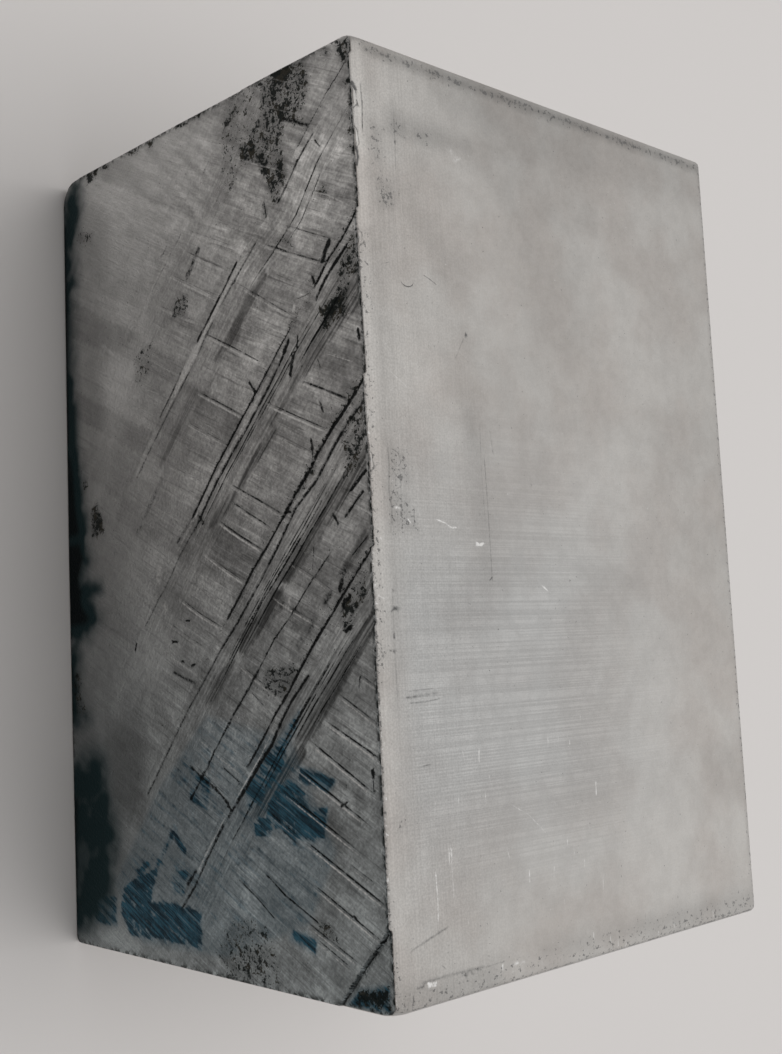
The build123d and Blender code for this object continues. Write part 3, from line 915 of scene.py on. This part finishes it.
def sawnFields(uv):
    shape = sawShape
    fromLeft, belowTop = uv.T
    rubbed, grit, tone = np.zeros((3, len(uv)))
    passes = passOf(uv)
    for index, step in enumerate(sawSteps):
        across, along = beside(uv, step)
        if index < len(sawSteps) - 1:
            mine = passes == index
            band = ramp(across, *shape["bandNear"])
            band *= ramp(across, *(shape["bandWidth"] + np.array(shape["bandFar"])))
            rubbed[mine] = (band * ramp(along, *shape["rubFade"]) * shape["bandRub"][index])[mine]
        above = passes == index - 1
        cell = ((along + rungs["lean"] * across) / rungs["pitch"] + 3).astype(int)
        tone[above] = cellTones[index][np.clip(cell, 0, rungs["cells"] - 1)][above]
        # dirt specks and painted shade, close beside each step
        close = np.exp(-np.abs(across + 0.1) / rungs["gritReach"]) * ramp(along, *rungs["gritFade"])
        grit = np.maximum(grit, close * rungs["grit"][index])
    found = {"rubbed": rubbed, "grit": grit}
    for name, patches in (("smear", sawnSmears), ("grime", sawnGrime), ("dye", sawnDye), ("teal", sawnTeal)):
        found[name] = patchField(uv, patches, softness[name])
    found["tone"] = patchField(uv, sawnTones, softness["sawnTone"], np.add)
    found["tone"] += rungs["tone"] * tone * (1 - rubbed)
    below, left = crispness["below"], crispness["left"]
    sharp = below + (1 - below) * ramp(belowTop - crispness["fall"] * fromLeft, *crispness["down"])
    found["crisp"] = sharp * (left + (1 - left) * ramp(fromLeft, *crispness["fromLeft"]))
    return found


# How strong the dirt, the painted highlight along the filed strip and the lighter and darker metal are, in
# the places that millFields gives them
millWear = {
    "seamPlace": 1.0,
    "seamWidth": 0.42,
    "seam": 0.7,
    "seamTone": -0.32,
    "right": 0.45,
    "far": 0.62,
    "sawnEdge": 0.25,
    "slant": 0.16,
    # painted highlight along the filed strip at the sawn edge
    "strip": 0.24,
    "plainSides": {"lined": 0.8, "brushed": 0.15},
}


def millFields(face, uv):  # each ramp goes from 0 to 1 between two places, mm
    wear = millWear
    if face != "top":
        return {name: np.full(len(uv), value) for name, value in wear["plainSides"].items()}
    fromLeft, fromSawn = uv.T
    wide, deep = sizes("top")
    fromRight, fromFar = wide - fromLeft, deep - fromSawn
    lined = ramp(fromLeft, 28, 46) * ramp(fromLeft, 72, 60) * ramp(fromSawn, 0.5, 4) * ramp(fromSawn, 42, 20)
    side = np.maximum(0.9 * ramp(fromRight, 2.6, 1.4), 1.5 * ramp(fromRight, 0.6, 0.2))
    # The seam is a dark line along the left side
    seam = np.exp(-(((fromLeft - wear["seamPlace"]) / wear["seamWidth"]) ** 2)) * ramp(fromSawn, 1.0, 2.0)
    dirt = (
        side * (wear["right"] + 0.12 * ramp(fromSawn, 16, 45)),
        seam * (wear["seam"] + 0.14 * np.sin(0.74 * fromSawn) + 0.12 * np.sin(2.1 * fromSawn)),
        wear["far"] * ramp(fromFar, 0.8, 0.3),
        (wear["sawnEdge"] + 0.55 * ramp(fromLeft, 9, 13)) * ramp(fromSawn, 0.4, 0.08),
        patchField(uv, millGrime, softness["grime"]),
    )
    tone = patchField(uv, millTones, softness["millTone"], np.add)
    tone += wear["slant"] * (fromLeft / wide - 0.6) + wear["seamTone"] * seam
    # painted highlight along the filed strip at the sawn edge
    tone += wear["strip"] * ramp(fromSawn, 1.5, 1.0) * ramp(fromLeft, 0.5, 2.0) * ramp(fromLeft, 62, 34)
    tone += 0.05 * ramp(fromSawn, 12, 30) - 0.07 * ramp(fromLeft, 34, 52) * ramp(fromSawn, 16, 8)
    # rim: painted glints along the filed edge
    rim = ramp(fromSawn, 0.9, 0.15) * ramp(fromLeft, 10, 30)  # bright specks along the filed edge
    brushed = ramp(fromSawn, 16, 3)
    return {"lined": lined, "brushed": brushed, "grime": np.max(dirt, 0), "rim": rim, "tone": tone}


cellTones = random.normal(0, rungs["toneSpread"], (len(sawSteps), rungs["cells"]))
sawnNames = ("rubbed", "smear", "tone", "crisp", "grit", "grime", "dye", "teal")
millNames = ("lined", "brushed", "rim")


def faceFields(face, uv):  # the values that the materials read, for each point of a face
    fields = {name: np.zeros(len(uv)) for name in ("dark", "bright", *sawnNames, *millNames)}
    found = markFields(face, uv)
    fields.update(dark=found["dark"], bright=found["bright"])
    fields.update(sawnFields(uv) if face == "sawn" else millFields(face, uv))
    fields["edge"] = np.minimum(uv, np.array(sizes(face)) - uv).min(1)
    return fields


# Where each face lies in the map that its finish is baked to: corner, scale for each mm, turned or not
bakeLayout = {
    "sawn": (0.005, 0.005, 0.0100, False),
    "top": (0.005, 0.462, 0.0100, False),
    "far": (0.785, 0.005, 0.0038, True),
    "bottom": (0.785, 0.305, 0.0038, True),
    "left": (0.785, 0.605, 0.0038, False),
    "right": (0.785, 0.785, 0.0038, False),
}


def bakePlace(face, uv):
    across, up, scale, turned = bakeLayout[face]
    return (uv[:, ::-1] if turned else uv) * scale + (across, up)


def addLayer(mesh, name, values, kind="FLOAT", socket="value"):
    layer = mesh.attributes.new(name, kind, "CORNER")
    layer.data.foreach_set(socket, values.astype(np.float32).ravel())


def buildBlock():
    print("building the block's mesh")
    boxes, triangles, flat, along, baked, owner, fields = [], [], [], [], [], [], []
    count = 0
    for index, face in enumerate(faces):
        uv, found = facePatch(face)
        boxes.append(boxPoint(face, uv))
        triangles.append(found + count)
        count += len(uv)
        corner = uv[found.ravel()]
        baked.append(bakePlace(face, corner))
        if face in ("left", "right"):
            corner = corner[:, ::-1]  # so that v runs along the bar on every mill face
        flat.append(np.column_stack((corner + (faceGap * index, 0.0), np.zeros(len(corner)))))
        passes = np.repeat(passOf(uv[found].mean(1)), 3)
        along.append(passPlace(corner, passes) if face == "sawn" else flat[-1])
        owner.append(np.full(len(found), index))
        fields.append(faceFields(face, uv))
    corners = np.vstack(triangles)
    box, merged = np.unique(np.round(np.vstack(boxes), 3), axis=0, return_inverse=True)
    places = (shaped(box) + middle) * mm
    mesh = bpy.data.meshes.new("aluminiumBlock")
    mesh.from_pydata(places.tolist(), [], merged.reshape(-1)[corners].tolist())
    mesh.update()
    addLayer(mesh, "flat", np.vstack(flat), "FLOAT_VECTOR", "vector")
    addLayer(mesh, "pass", np.vstack(along), "FLOAT_VECTOR", "vector")
    for name in fields[0]:
        addLayer(mesh, name, np.concatenate([part[name] for part in fields])[corners.ravel()])
    mesh.uv_layers.new(name="OFBake").data.foreach_set("uv", np.vstack(baked).astype(np.float32).ravel())
    mesh.polygons.foreach_set("material_index", materialOf[np.concatenate(owner)])
    mesh.polygons.foreach_set("use_smooth", np.ones(len(corners), bool))
    mesh.set_sharp_from_angle(angle=math.radians(34))
    print("  vertices", len(places), "triangles", len(corners))
    return mesh


# Small helpers for node trees
def addNode(tree, kind, values=None, **settings):
    made = tree.nodes.new(kind)
    for name, value in settings.items():
        setattr(made, name, value)
    for socket, value in (values or {}).items():
        if isinstance(value, bpy.types.NodeSocket):
            tree.links.new(value, made.inputs[socket])
        else:
            made.inputs[socket].default_value = value
    return made


def maths(tree, operation, *values):
    return addNode(tree, "ShaderNodeMath", dict(enumerate(values)), operation=operation).outputs[0]


def folded(tree, operation, values):
    found = values[0]
    for value in values[1:]:
        found = maths(tree, operation, found, value)
    return found


def times(tree, *values):
    return folded(tree, "MULTIPLY", values)


def total(tree, *values):
    return folded(tree, "ADD", values)


def largest(tree, *values):
    return folded(tree, "MAXIMUM", values)


def swing(tree, value, amount):  # a 0 to 1 value as a change either way
    return maths(tree, "MULTIPLY_ADD", value, amount, -amount / 2)


def between(tree, value, low, high, toLow=0.0, toHigh=1.0):
    sockets = {"Value": value, "From Min": low, "From Max": high, "To Min": toLow, "To Max": toHigh}
    return addNode(tree, "ShaderNodeMapRange", sockets, interpolation_type="SMOOTHSTEP").outputs[0]


def mixed(tree, factor, a, b):
    return addNode(tree, "ShaderNodeMix", {0: factor, 6: a, 7: b}, data_type="RGBA").outputs[2]


def vectors(tree, operation, values):
    return addNode(tree, "ShaderNodeVectorMath", values, operation=operation).outputs


def shaded(tree, tint, level, look):  # a tint, twice as light for each step of the level
    lightness = times(tree, maths(tree, "POWER", 2.0, level), look["level"])
    return vectors(tree, "SCALE", {0: tint, "Scale": lightness})[0]


def grain(tree, place, scale, detail=2.0, roughness=0.6):
    sockets = {"Vector": place, "Scale": scale, "Detail": detail, "Roughness": roughness}
    return addNode(tree, "ShaderNodeTexNoise", sockets, noise_dimensions="2D").outputs["Fac"]


def mottle(tree, place, scale, detail):
    return between(tree, grain(tree, place, scale, detail), 0.33, 0.67)


def readField(tree, name, output="Fac"):
    return addNode(tree, "ShaderNodeAttribute", attribute_name=name).outputs[output]


def readFields(tree, *names):
    return {name: readField(tree, name) for name in names}


def newGroup(name, output, **inputs):  # an input without a number is a vector
    group = bpy.data.node_groups.new(name, "ShaderNodeTree")
    for label, value in inputs.items():
        kind = "NodeSocketVector" if value is None else "NodeSocketFloat"
        socket = group.interface.new_socket(label, in_out="INPUT", socket_type=kind)
        if value is not None:
            socket.default_value = value
    group.interface.new_socket(output, in_out="OUTPUT", socket_type="NodeSocketFloat")
    return group, group.nodes.new("NodeGroupInput").outputs, group.nodes.new("NodeGroupOutput").inputs[0]


def streakGroup():  # fine lines that run one way across a face
    group, given, result = newGroup(
        "fineStreaks", "Lines", Place=None, Angle=0.0, Fineness=6.0, Stretch=0.05, Low=0.35, High=0.65
    )
    sockets = {"Vector": given["Place"], "Angle": given["Angle"]}
    turned = addNode(group, "ShaderNodeVectorRotate", sockets, rotation_type="Z_AXIS").outputs[0]
    along = times(group, given["Fineness"], given["Stretch"])
    scale = addNode(group, "ShaderNodeCombineXYZ", {"X": along, "Y": given["Fineness"], "Z": 1.0}).outputs[0]
    place = vectors(group, "MULTIPLY", {0: turned, 1: scale})[0]
    group.links.new(between(group, grain(group, place, 1.0), given["Low"], given["High"]), result)
    return group


def speckGroup():  # ragged specks, as many as the amount says
    group, given, result = newGroup("raggedSpecks", "Specks", Noise=0.5, Amount=0.0, Soft=0.07)
    bar = maths(group, "SUBTRACT", 0.72, times(group, given["Amount"], 0.31))
    top = total(group, bar, given["Soft"])
    group.links.new(between(group, given["Noise"], bar, top), result)
    return group


def raggedGroup():  # a soft mask with its edge broken up
    group, given, result = newGroup("raggedMask", "Mask", Mask=0.0, Noise=0.5, Break=0.6, Low=0.35, High=0.6)
    push = times(group, maths(group, "SUBTRACT", given["Noise"], 0.5), given["Break"])
    broken = times(group, given["Mask"], total(group, 1.0, push))
    group.links.new(between(group, broken, given["Low"], given["High"]), result)
    return group


streaks, specks, ragged = streakGroup(), speckGroup(), raggedGroup()


def placeGroup(tree, group, values):
    return addNode(tree, "ShaderNodeGroup", values, node_tree=group).outputs[0]


def lines(tree, place, layer):
    return placeGroup(tree, streaks, {"Place": place, **layer})


def speckled(tree, noise, amount, **values):
    return placeGroup(tree, specks, {"Noise": noise, "Amount": amount, **values})


def brokenUp(tree, mask, noise, border):
    return placeGroup(tree, ragged, {"Mask": mask, "Noise": noise, **border})


def newMaterial(name):
    material = bpy.data.materials.new(name)
    material.use_nodes = True
    tree = material.node_tree
    return material, tree, tree.nodes["Principled BSDF"]


def finishSurface(tree, shader, colour, rough, metal, height, bump):
    raised = addNode(tree, "ShaderNodeBump", {"Height": height, "Strength": bump, "Distance": 0.00004})
    sockets = {"Base Color": colour, "Roughness": rough, "Metallic": metal, "Normal": raised.outputs[0]}
    for name, value in sockets.items():
        tree.links.new(value, shader.inputs[name])


sawAngle = math.radians(63)  # of the lines that the teeth left
sawnLook = {
    "level": 0.335,
    "warm": (1.0, 1.0, 0.985, 1),
    "cool": (0.90, 0.985, 1.0, 1),
    "lit": (0.6, 0.6, 0.59, 1),
    # near black of the cuts, with the painted shade in the step creases
    "cut": (0.004, 0.005, 0.005, 1),
    "grime": (0.005, 0.008, 0.007, 1),
    "rust": (0.028, 0.025, 0.017, 1),
    "dyeDark": (0.007, 0.022, 0.034, 1),
    "dyeLight": (0.032, 0.115, 0.168, 1),
    "dyeHaze": 0.42,
    "teal": (0.012, 0.028, 0.031, 1),
    "black": (0.003, 0.006, 0.007, 1),
    "specular": 0.06,
    "roughness": (0.4, 0.62),
    "metallic": (1.0, 0.2),
    "bump": 0.6,
    # Clouds and specks in the metal: scale, detail
    "mottles": ((0.22, 2.0), (0.9, 3.0), (3.4, 1.0)),
    # Lines on the ladders and on the rubbed bands
    "fine": {"Angle": sawAngle, "Fineness": 4.5, "Stretch": 0.06},
    "broad": {"Angle": sawAngle, "Fineness": 0.8, "Stretch": 0.14},
    "stroke": {"Angle": sawAngle + 0.03, "Fineness": 2.3, "Stretch": 0.05, "Low": 0.2, "High": 0.8},
    "hatch": {"Angle": math.radians(50), "Fineness": 1.4, "Stretch": 0.07},
    "fingers": {"Angle": sawAngle, "Fineness": 1.5, "Stretch": 0.12, "Low": 0.3, "High": 0.7},
    "rub": {"Fineness": 4.0, "Stretch": 0.03},
    "drag": {"Fineness": 2.8, "Stretch": 0.02, "Low": 0.38, "High": 0.6},
    # How much each layer lightens and darkens
    "swing": {
        "cloud": 0.5, "small": 0.4, "speckle": 0.36, "fine": 0.28, "broad": 0.3, "hatch": 0.5, "rub": 0.65,
    },
    "scratch": (0.76, 0.92),
    "nick": (0.22, 0.08),
    "scored": (0.35, -0.5),
    "smear": (1.7, -2.4),
    # painted shade close beside each step
    "shadeNearStep": -0.35,
    "rubbed": -0.05,
    # Changes across and down the face: from, to, the value before, the value after. Across, the face darkens
    # towards the right, partly painted shade and partly the metal's tint
    "across": (0.0, 76.0, 0.15, -0.45),
    "down": (22.0, 36.0, 0.0, 0.12),
    "hatched": (6.0, 20.0, 1.0, 0.0),
    "tinted": (30.0, 76.0),
    # Broken borders
    "dyeBorder": {"Break": 2.0, "Low": 0.3, "High": 0.62},
    "tealBorder": {"Break": 0.5, "Low": 0.05, "High": 0.72},
    "cutBorder": {"Break": 2.4, "Low": 0.12, "High": 0.62},
    "litBorder": {"Break": 2.4, "Low": 0.12, "High": 0.95},
}


def sawnMaterial():
    material, tree, shader = newMaterial("sawnAluminium")
    look = sawnLook
    flat, along = readField(tree, "flat", "Vector"), readField(tree, "pass", "Vector")
    field = readFields(tree, *sawnNames, "dark", "bright", "edge")
    rubbed = field["rubbed"]

    def sway(name, value):
        return swing(tree, value, look["swing"][name])

    # Texture of the bare metal
    fine, broad, stroke, hatch, fingers = (
        lines(tree, flat, look[name]) for name in ("fine", "broad", "stroke", "hatch", "fingers")
    )
    rub, drag = (lines(tree, along, look[name]) for name in ("rub", "drag"))
    cloud, small, speckle = (mottle(tree, flat, *values) for values in look["mottles"])
    scratch, nick = (between(tree, stroke, *look[name]) for name in ("scratch", "nick"))
    sides = addNode(tree, "ShaderNodeSeparateXYZ", {0: flat}).outputs
    ladder = maths(tree, "SUBTRACT", 1.0, rubbed)
    lighter, darker = look["scored"]
    scored = total(tree, sway("fine", fine), times(tree, scratch, lighter), times(tree, nick, darker))
    texture = total(
        tree, sway("cloud", cloud), sway("small", small), sway("speckle", speckle),
        times(tree, ladder, scored),
        times(tree, sway("rub", rub), total(tree, times(tree, rubbed, 0.75), 0.25)),
        times(tree, ladder, sway("broad", broad)),
        times(tree, sway("hatch", hatch), between(tree, sides["X"], *look["hatched"])),
    )
    dragged, smeared = look["smear"]
    level = total(
        tree, field["tone"], times(tree, texture, field["crisp"]), times(tree, rubbed, look["rubbed"]),
        times(tree, field["smear"], total(tree, times(tree, drag, dragged), smeared)),
        # painted shade close beside each step
        times(tree, field["grit"], look["shadeNearStep"]),
        # darker towards the right, partly painted shade; lighter towards the lower edge
        between(tree, sides["X"], *look["across"]), between(tree, sides["Y"], *look["down"]),
    )
    tint = mixed(tree, between(tree, sides["X"], *look["tinted"]), look["warm"], look["cool"])
    colour = shaded(tree, tint, level, look)

    # Dye
    noise, grit = grain(tree, flat, 1.3, 4.0, 0.7), grain(tree, flat, 3.4, 3.0, 0.7)
    fingers = total(tree, times(tree, fingers, 0.45), times(tree, noise, 0.55))
    dye = brokenUp(tree, field["dye"], fingers, look["dyeBorder"])
    depth = total(tree, times(tree, fine, 0.4), times(tree, small, 0.2), times(tree, stroke, 0.4))
    dyed = mixed(tree, between(tree, depth, 0.15, 0.9), look["dyeDark"], look["dyeLight"])
    haze = times(tree, between(tree, field["dye"], 0.0, 0.6), look["dyeHaze"])
    colour = mixed(tree, haze, colour, look["dyeLight"])
    colour = mixed(tree, times(tree, dye, between(tree, scratch, 0.0, 1.0, 0.95, 0.5)), colour, dyed)
    teal = brokenUp(tree, field["teal"], cloud, look["tealBorder"])
    stain = mixed(tree, between(tree, field["teal"], 0.72, 0.95), look["teal"], look["black"])
    colour = mixed(tree, teal, colour, stain)

    # Grime: a haze, and specks of three sizes
    colour = mixed(tree, times(tree, between(tree, field["grime"], 0.0, 1.1), 0.45), colour, look["grime"])
    drawnOut = total(tree, grit, swing(tree, stroke, 0.12))
    coarse = speckled(tree, noise, field["grime"])
    medium = speckled(tree, drawnOut, times(tree, field["grime"], 0.9))
    grime = largest(tree, coarse, medium, speckled(tree, grit, field["grit"]))
    dirt = mixed(tree, between(tree, small, 0.55, 0.9), look["grime"], look["rust"])
    colour = mixed(tree, times(tree, grime, 0.93), colour, dirt)

    # Cuts, with painted shade in the step creases, and raised edges and scratches with painted highlights
    uneven = times(tree, field["dark"], between(tree, grain(tree, flat, 0.7, 1.0), 0.3, 0.55, 0.65, 1.1))
    cut = brokenUp(tree, uneven, grit, look["cutBorder"])
    lit = brokenUp(tree, field["bright"], grit, look["litBorder"])
    colour = mixed(tree, lit, colour, look["lit"])
    colour = mixed(tree, times(tree, cut, 0.97), colour, look["cut"])
    edgeDirt = times(tree, between(tree, field["edge"], 0.7, 0.0), between(tree, noise, 0.44, 0.56))
    colour = mixed(tree, edgeDirt, colour, look["grime"])

    soiled = largest(tree, grime, cut, teal, times(tree, dye, 0.6))
    rough, metal = (between(tree, soiled, 0.0, 1.0, *look[name]) for name in ("roughness", "metallic"))
    shader.inputs["Specular IOR Level"].default_value = look["specular"]
    height = total(tree, times(tree, ladder, fine, 0.5), times(tree, rub, 0.4), times(tree, speckle, 0.7))
    finishSurface(tree, shader, colour, rough, metal, height, look["bump"])
    return material


millLook = {
    "level": 0.466,
    "warm": (1.09, 1.025, 0.965, 1),
    "cool": (1.07, 1.03, 0.98, 1),
    "blue": (1.0, 1.02, 1.025, 1),
    "lit": (0.85, 0.835, 0.815, 1),
    "dark": (0.05, 0.05, 0.05, 1),
    "roughness": (0.4, 0.55),
    "metallic": (1.0, 0.4),
    "bump": 0.25,
    "mottles": ((0.1, 2.0), (0.45, 2.0), (1.6, 3.0), (5.5, 1.0)),
    "drawn": {"Angle": math.radians(90), "Fineness": 7.5, "Stretch": 0.004},
    "filed": {"Fineness": 5.0, "Stretch": 0.02},
    "swing": {"cloud": 0.14, "patchy": 0.08, "small": 0.13, "drawn": 0.24, "filed": 0.1},
    "speckle": (0.12, 0.07),
    "cutBorder": {"Break": 1.8, "Low": 0.1, "High": 0.8},
    "litBorder": {"Break": 3.0, "Low": 0.12, "High": 0.8},
}


def millMaterial():
    material, tree, shader = newMaterial("millAluminium")
    look = millLook
    flat = readField(tree, "flat", "Vector")
    field = readFields(tree, *millNames, "tone", "grime", "dark", "bright")
    lined, brushed = field["lined"], field["brushed"]
    drawn, filed = (lines(tree, flat, look[name]) for name in ("drawn", "filed"))
    cloud, patchy, small, speckle = (mottle(tree, flat, *values) for values in look["mottles"])

    def sway(name, value):
        return swing(tree, value, look["swing"][name])

    onBrushed, everywhere = look["speckle"]
    level = total(
        tree, sway("cloud", cloud), sway("patchy", patchy), sway("small", small), field["tone"],
        times(tree, lined, sway("drawn", drawn), between(tree, patchy, 0.0, 1.0, 0.55, 1.0)),
        times(tree, brushed, sway("filed", filed)),
        times(tree, speckle, total(tree, times(tree, brushed, onBrushed), everywhere)),
    )
    tint = mixed(tree, cloud, look["warm"], look["cool"])
    tint = mixed(tree, times(tree, lined, 0.5), tint, look["blue"])
    colour = shaded(tree, tint, level, look)

    # Grime, cuts with the painted shadows around the burrs, and painted glints and highlights on the specks
    # and raised edges
    noise = grain(tree, flat, 2.2, 3.0, 0.7)
    grime = speckled(tree, noise, field["grime"])
    haze = times(tree, largest(tree, grime, times(tree, field["grime"], 0.3)), 0.75)
    colour = mixed(tree, haze, colour, look["dark"])
    cut = brokenUp(tree, field["dark"], noise, look["cutBorder"])
    colour = mixed(tree, times(tree, cut, 0.9), colour, look["dark"])
    glint = speckled(tree, maths(tree, "SUBTRACT", 1.0, noise), times(tree, field["rim"], 0.5), Soft=0.18)
    lit = brokenUp(tree, field["bright"], noise, look["litBorder"])
    colour = mixed(tree, largest(tree, lit, glint), colour, look["lit"])

    rough = between(tree, small, 0.0, 1.0, *look["roughness"])
    metal = between(tree, largest(tree, grime, cut), 0.0, 1.0, *look["metallic"])
    ribbed, combed = times(tree, lined, drawn, 0.5), times(tree, brushed, filed, 0.4)
    height = total(tree, ribbed, combed, times(tree, small, 0.12))
    finishSurface(tree, shader, colour, rough, metal, height, look["bump"])
    return material


farLook = {
    "level": 0.5,
    "yellow": 0.975,  # how much of the blue is left
    "roughness": (0.38, 0.5),
    "bump": 0.25,
    "fine": {"Angle": math.radians(76), "Fineness": 6.5, "Stretch": 0.006},
    "broad": {"Angle": math.radians(76), "Fineness": 1.4, "Stretch": 0.008},
    "swing": (0.3, 0.16, 0.4),
}


def farMaterial():
    material, tree, shader = newMaterial("farCutAluminium")
    look = farLook
    flat = readField(tree, "flat", "Vector")
    fine, broad = (lines(tree, flat, look[name]) for name in ("fine", "broad"))
    layers = (fine, broad, grain(tree, flat, 0.12))
    level = total(tree, *(swing(tree, layer, amount) for layer, amount in zip(layers, look["swing"])))
    value = times(tree, maths(tree, "POWER", 2.0, level), look["level"])
    sockets = {0: value, 1: value, 2: times(tree, value, look["yellow"])}
    colour = addNode(tree, "ShaderNodeCombineColor", sockets).outputs[0]
    rough = between(tree, fine, 0.0, 1.0, *look["roughness"])
    metal = between(tree, readField(tree, "edge"), 0.0, 0.2, 0.9, 1.0)
    finishSurface(tree, shader, colour, rough, metal, total(tree, fine, broad), look["bump"])
    return material


def addObject(name, data):
    made = bpy.data.objects.new(name, data)
    bpy.context.scene.collection.objects.link(made)
    return made


materials = [sawnMaterial(), millMaterial(), farMaterial()]
materialOf = np.array([0, 1, 1, 2, 1, 1])  # in the order of the faces
addSawnMarks()
addMillMarks()
blockPiece = addObject("aluminiumBlock", buildBlock())
for material in materials:
    blockPiece.data.materials.append(material)
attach(blockPiece, "root")
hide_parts("aluminium_block")
print("block done")

# Camera, fitted to the corners of the block
view = {
    "place": (10.958, -95.618, 119.048),  # mm
    "right": (0.04402, 0.74175, 0.66924),
    "up": (-0.99288, -0.04177, 0.11160),
    "focal": 1351.1,  # in pixels, as are the next two
    "frame": (782, 1054),
    "aim": (342, 500),
    "sensor": 36.0,
    "nearest": 0.005,
}


def addCamera():
    camera = addObject("camera", bpy.data.cameras.new("camera"))
    right, up = Vector(view["right"]).normalized(), Vector(view["up"]).normalized()
    turn = Matrix((right, up, right.cross(up))).transposed()
    camera.matrix_world = Matrix.Translation(Vector(view["place"]) * mm) @ turn.to_4x4()
    (wide, tall), (aimX, aimY) = view["frame"], view["aim"]
    optics = camera.data
    optics.sensor_width = view["sensor"]
    optics.lens = view["sensor"] * view["focal"] / tall
    optics.shift_x = (wide / 2 - aimX) / tall
    optics.shift_y = (aimY - tall / 2) / tall
    optics.clip_start = view["nearest"]
    bpy.context.scene.camera = camera


stage = {
    "floorColour": (0.60, 0.575, 0.56, 1),
    "floorRoughness": 0.8,
    "floorSize": 3.0,
    "sky": (-0.4, 1.0, 0.2, 0.84),  # from, to, the light before, the light after
    "skySide": (0.12, 0.72, 0.68),  # the side that the light comes from
    "lampPlace": (0.04, 0.32, 1.0),
    "lampSize": 1.0,
    "lampPower": 5.6,
}


def addFloor():
    reach = stage["floorSize"] / 2
    corners = [(-reach, -reach, 0), (reach, -reach, 0), (reach, reach, 0), (-reach, reach, 0)]
    mesh = bpy.data.meshes.new("floor")
    mesh.from_pydata(corners, [], [(0, 1, 2, 3)])
    material, _, shader = newMaterial("paleFloor")
    shader.inputs["Base Color"].default_value = stage["floorColour"]
    shader.inputs["Roughness"].default_value = stage["floorRoughness"]
    mesh.materials.append(material)
    addObject("floor", mesh)


def addWorld():
    world = bpy.data.worlds.new("studio")
    world.use_nodes = True
    tree = world.node_tree
    direction = addNode(tree, "ShaderNodeTexCoord").outputs["Generated"]
    side = Vector(stage["skySide"]).normalized()
    facing = vectors(tree, "DOT_PRODUCT", {0: direction, 1: side})["Value"]
    background = tree.nodes["Background"].inputs
    background[0].default_value = (1, 1, 1, 1)
    tree.links.new(between(tree, facing, *stage["sky"]), background[1])
    bpy.context.scene.world = world


def addLamp(name, place, size, power):
    lamp = addObject(name, bpy.data.lights.new(name, "AREA"))
    lamp.data.shape = "DISK"
    lamp.data.size = size
    lamp.data.energy = power
    lamp.visible_glossy = False  # the metal reflects the sky alone, as evenly as the dull face does
    lamp.location = place
    lamp.rotation_mode = "QUATERNION"
    lamp.rotation_quaternion = (-Vector(place)).to_track_quat("-Z", "Y")


addCamera()
addFloor()
addWorld()
addLamp("overheadLamp", stage["lampPlace"], stage["lampSize"], stage["lampPower"])
bpy.context.scene.view_settings.view_transform = "Standard"
print("stage done")
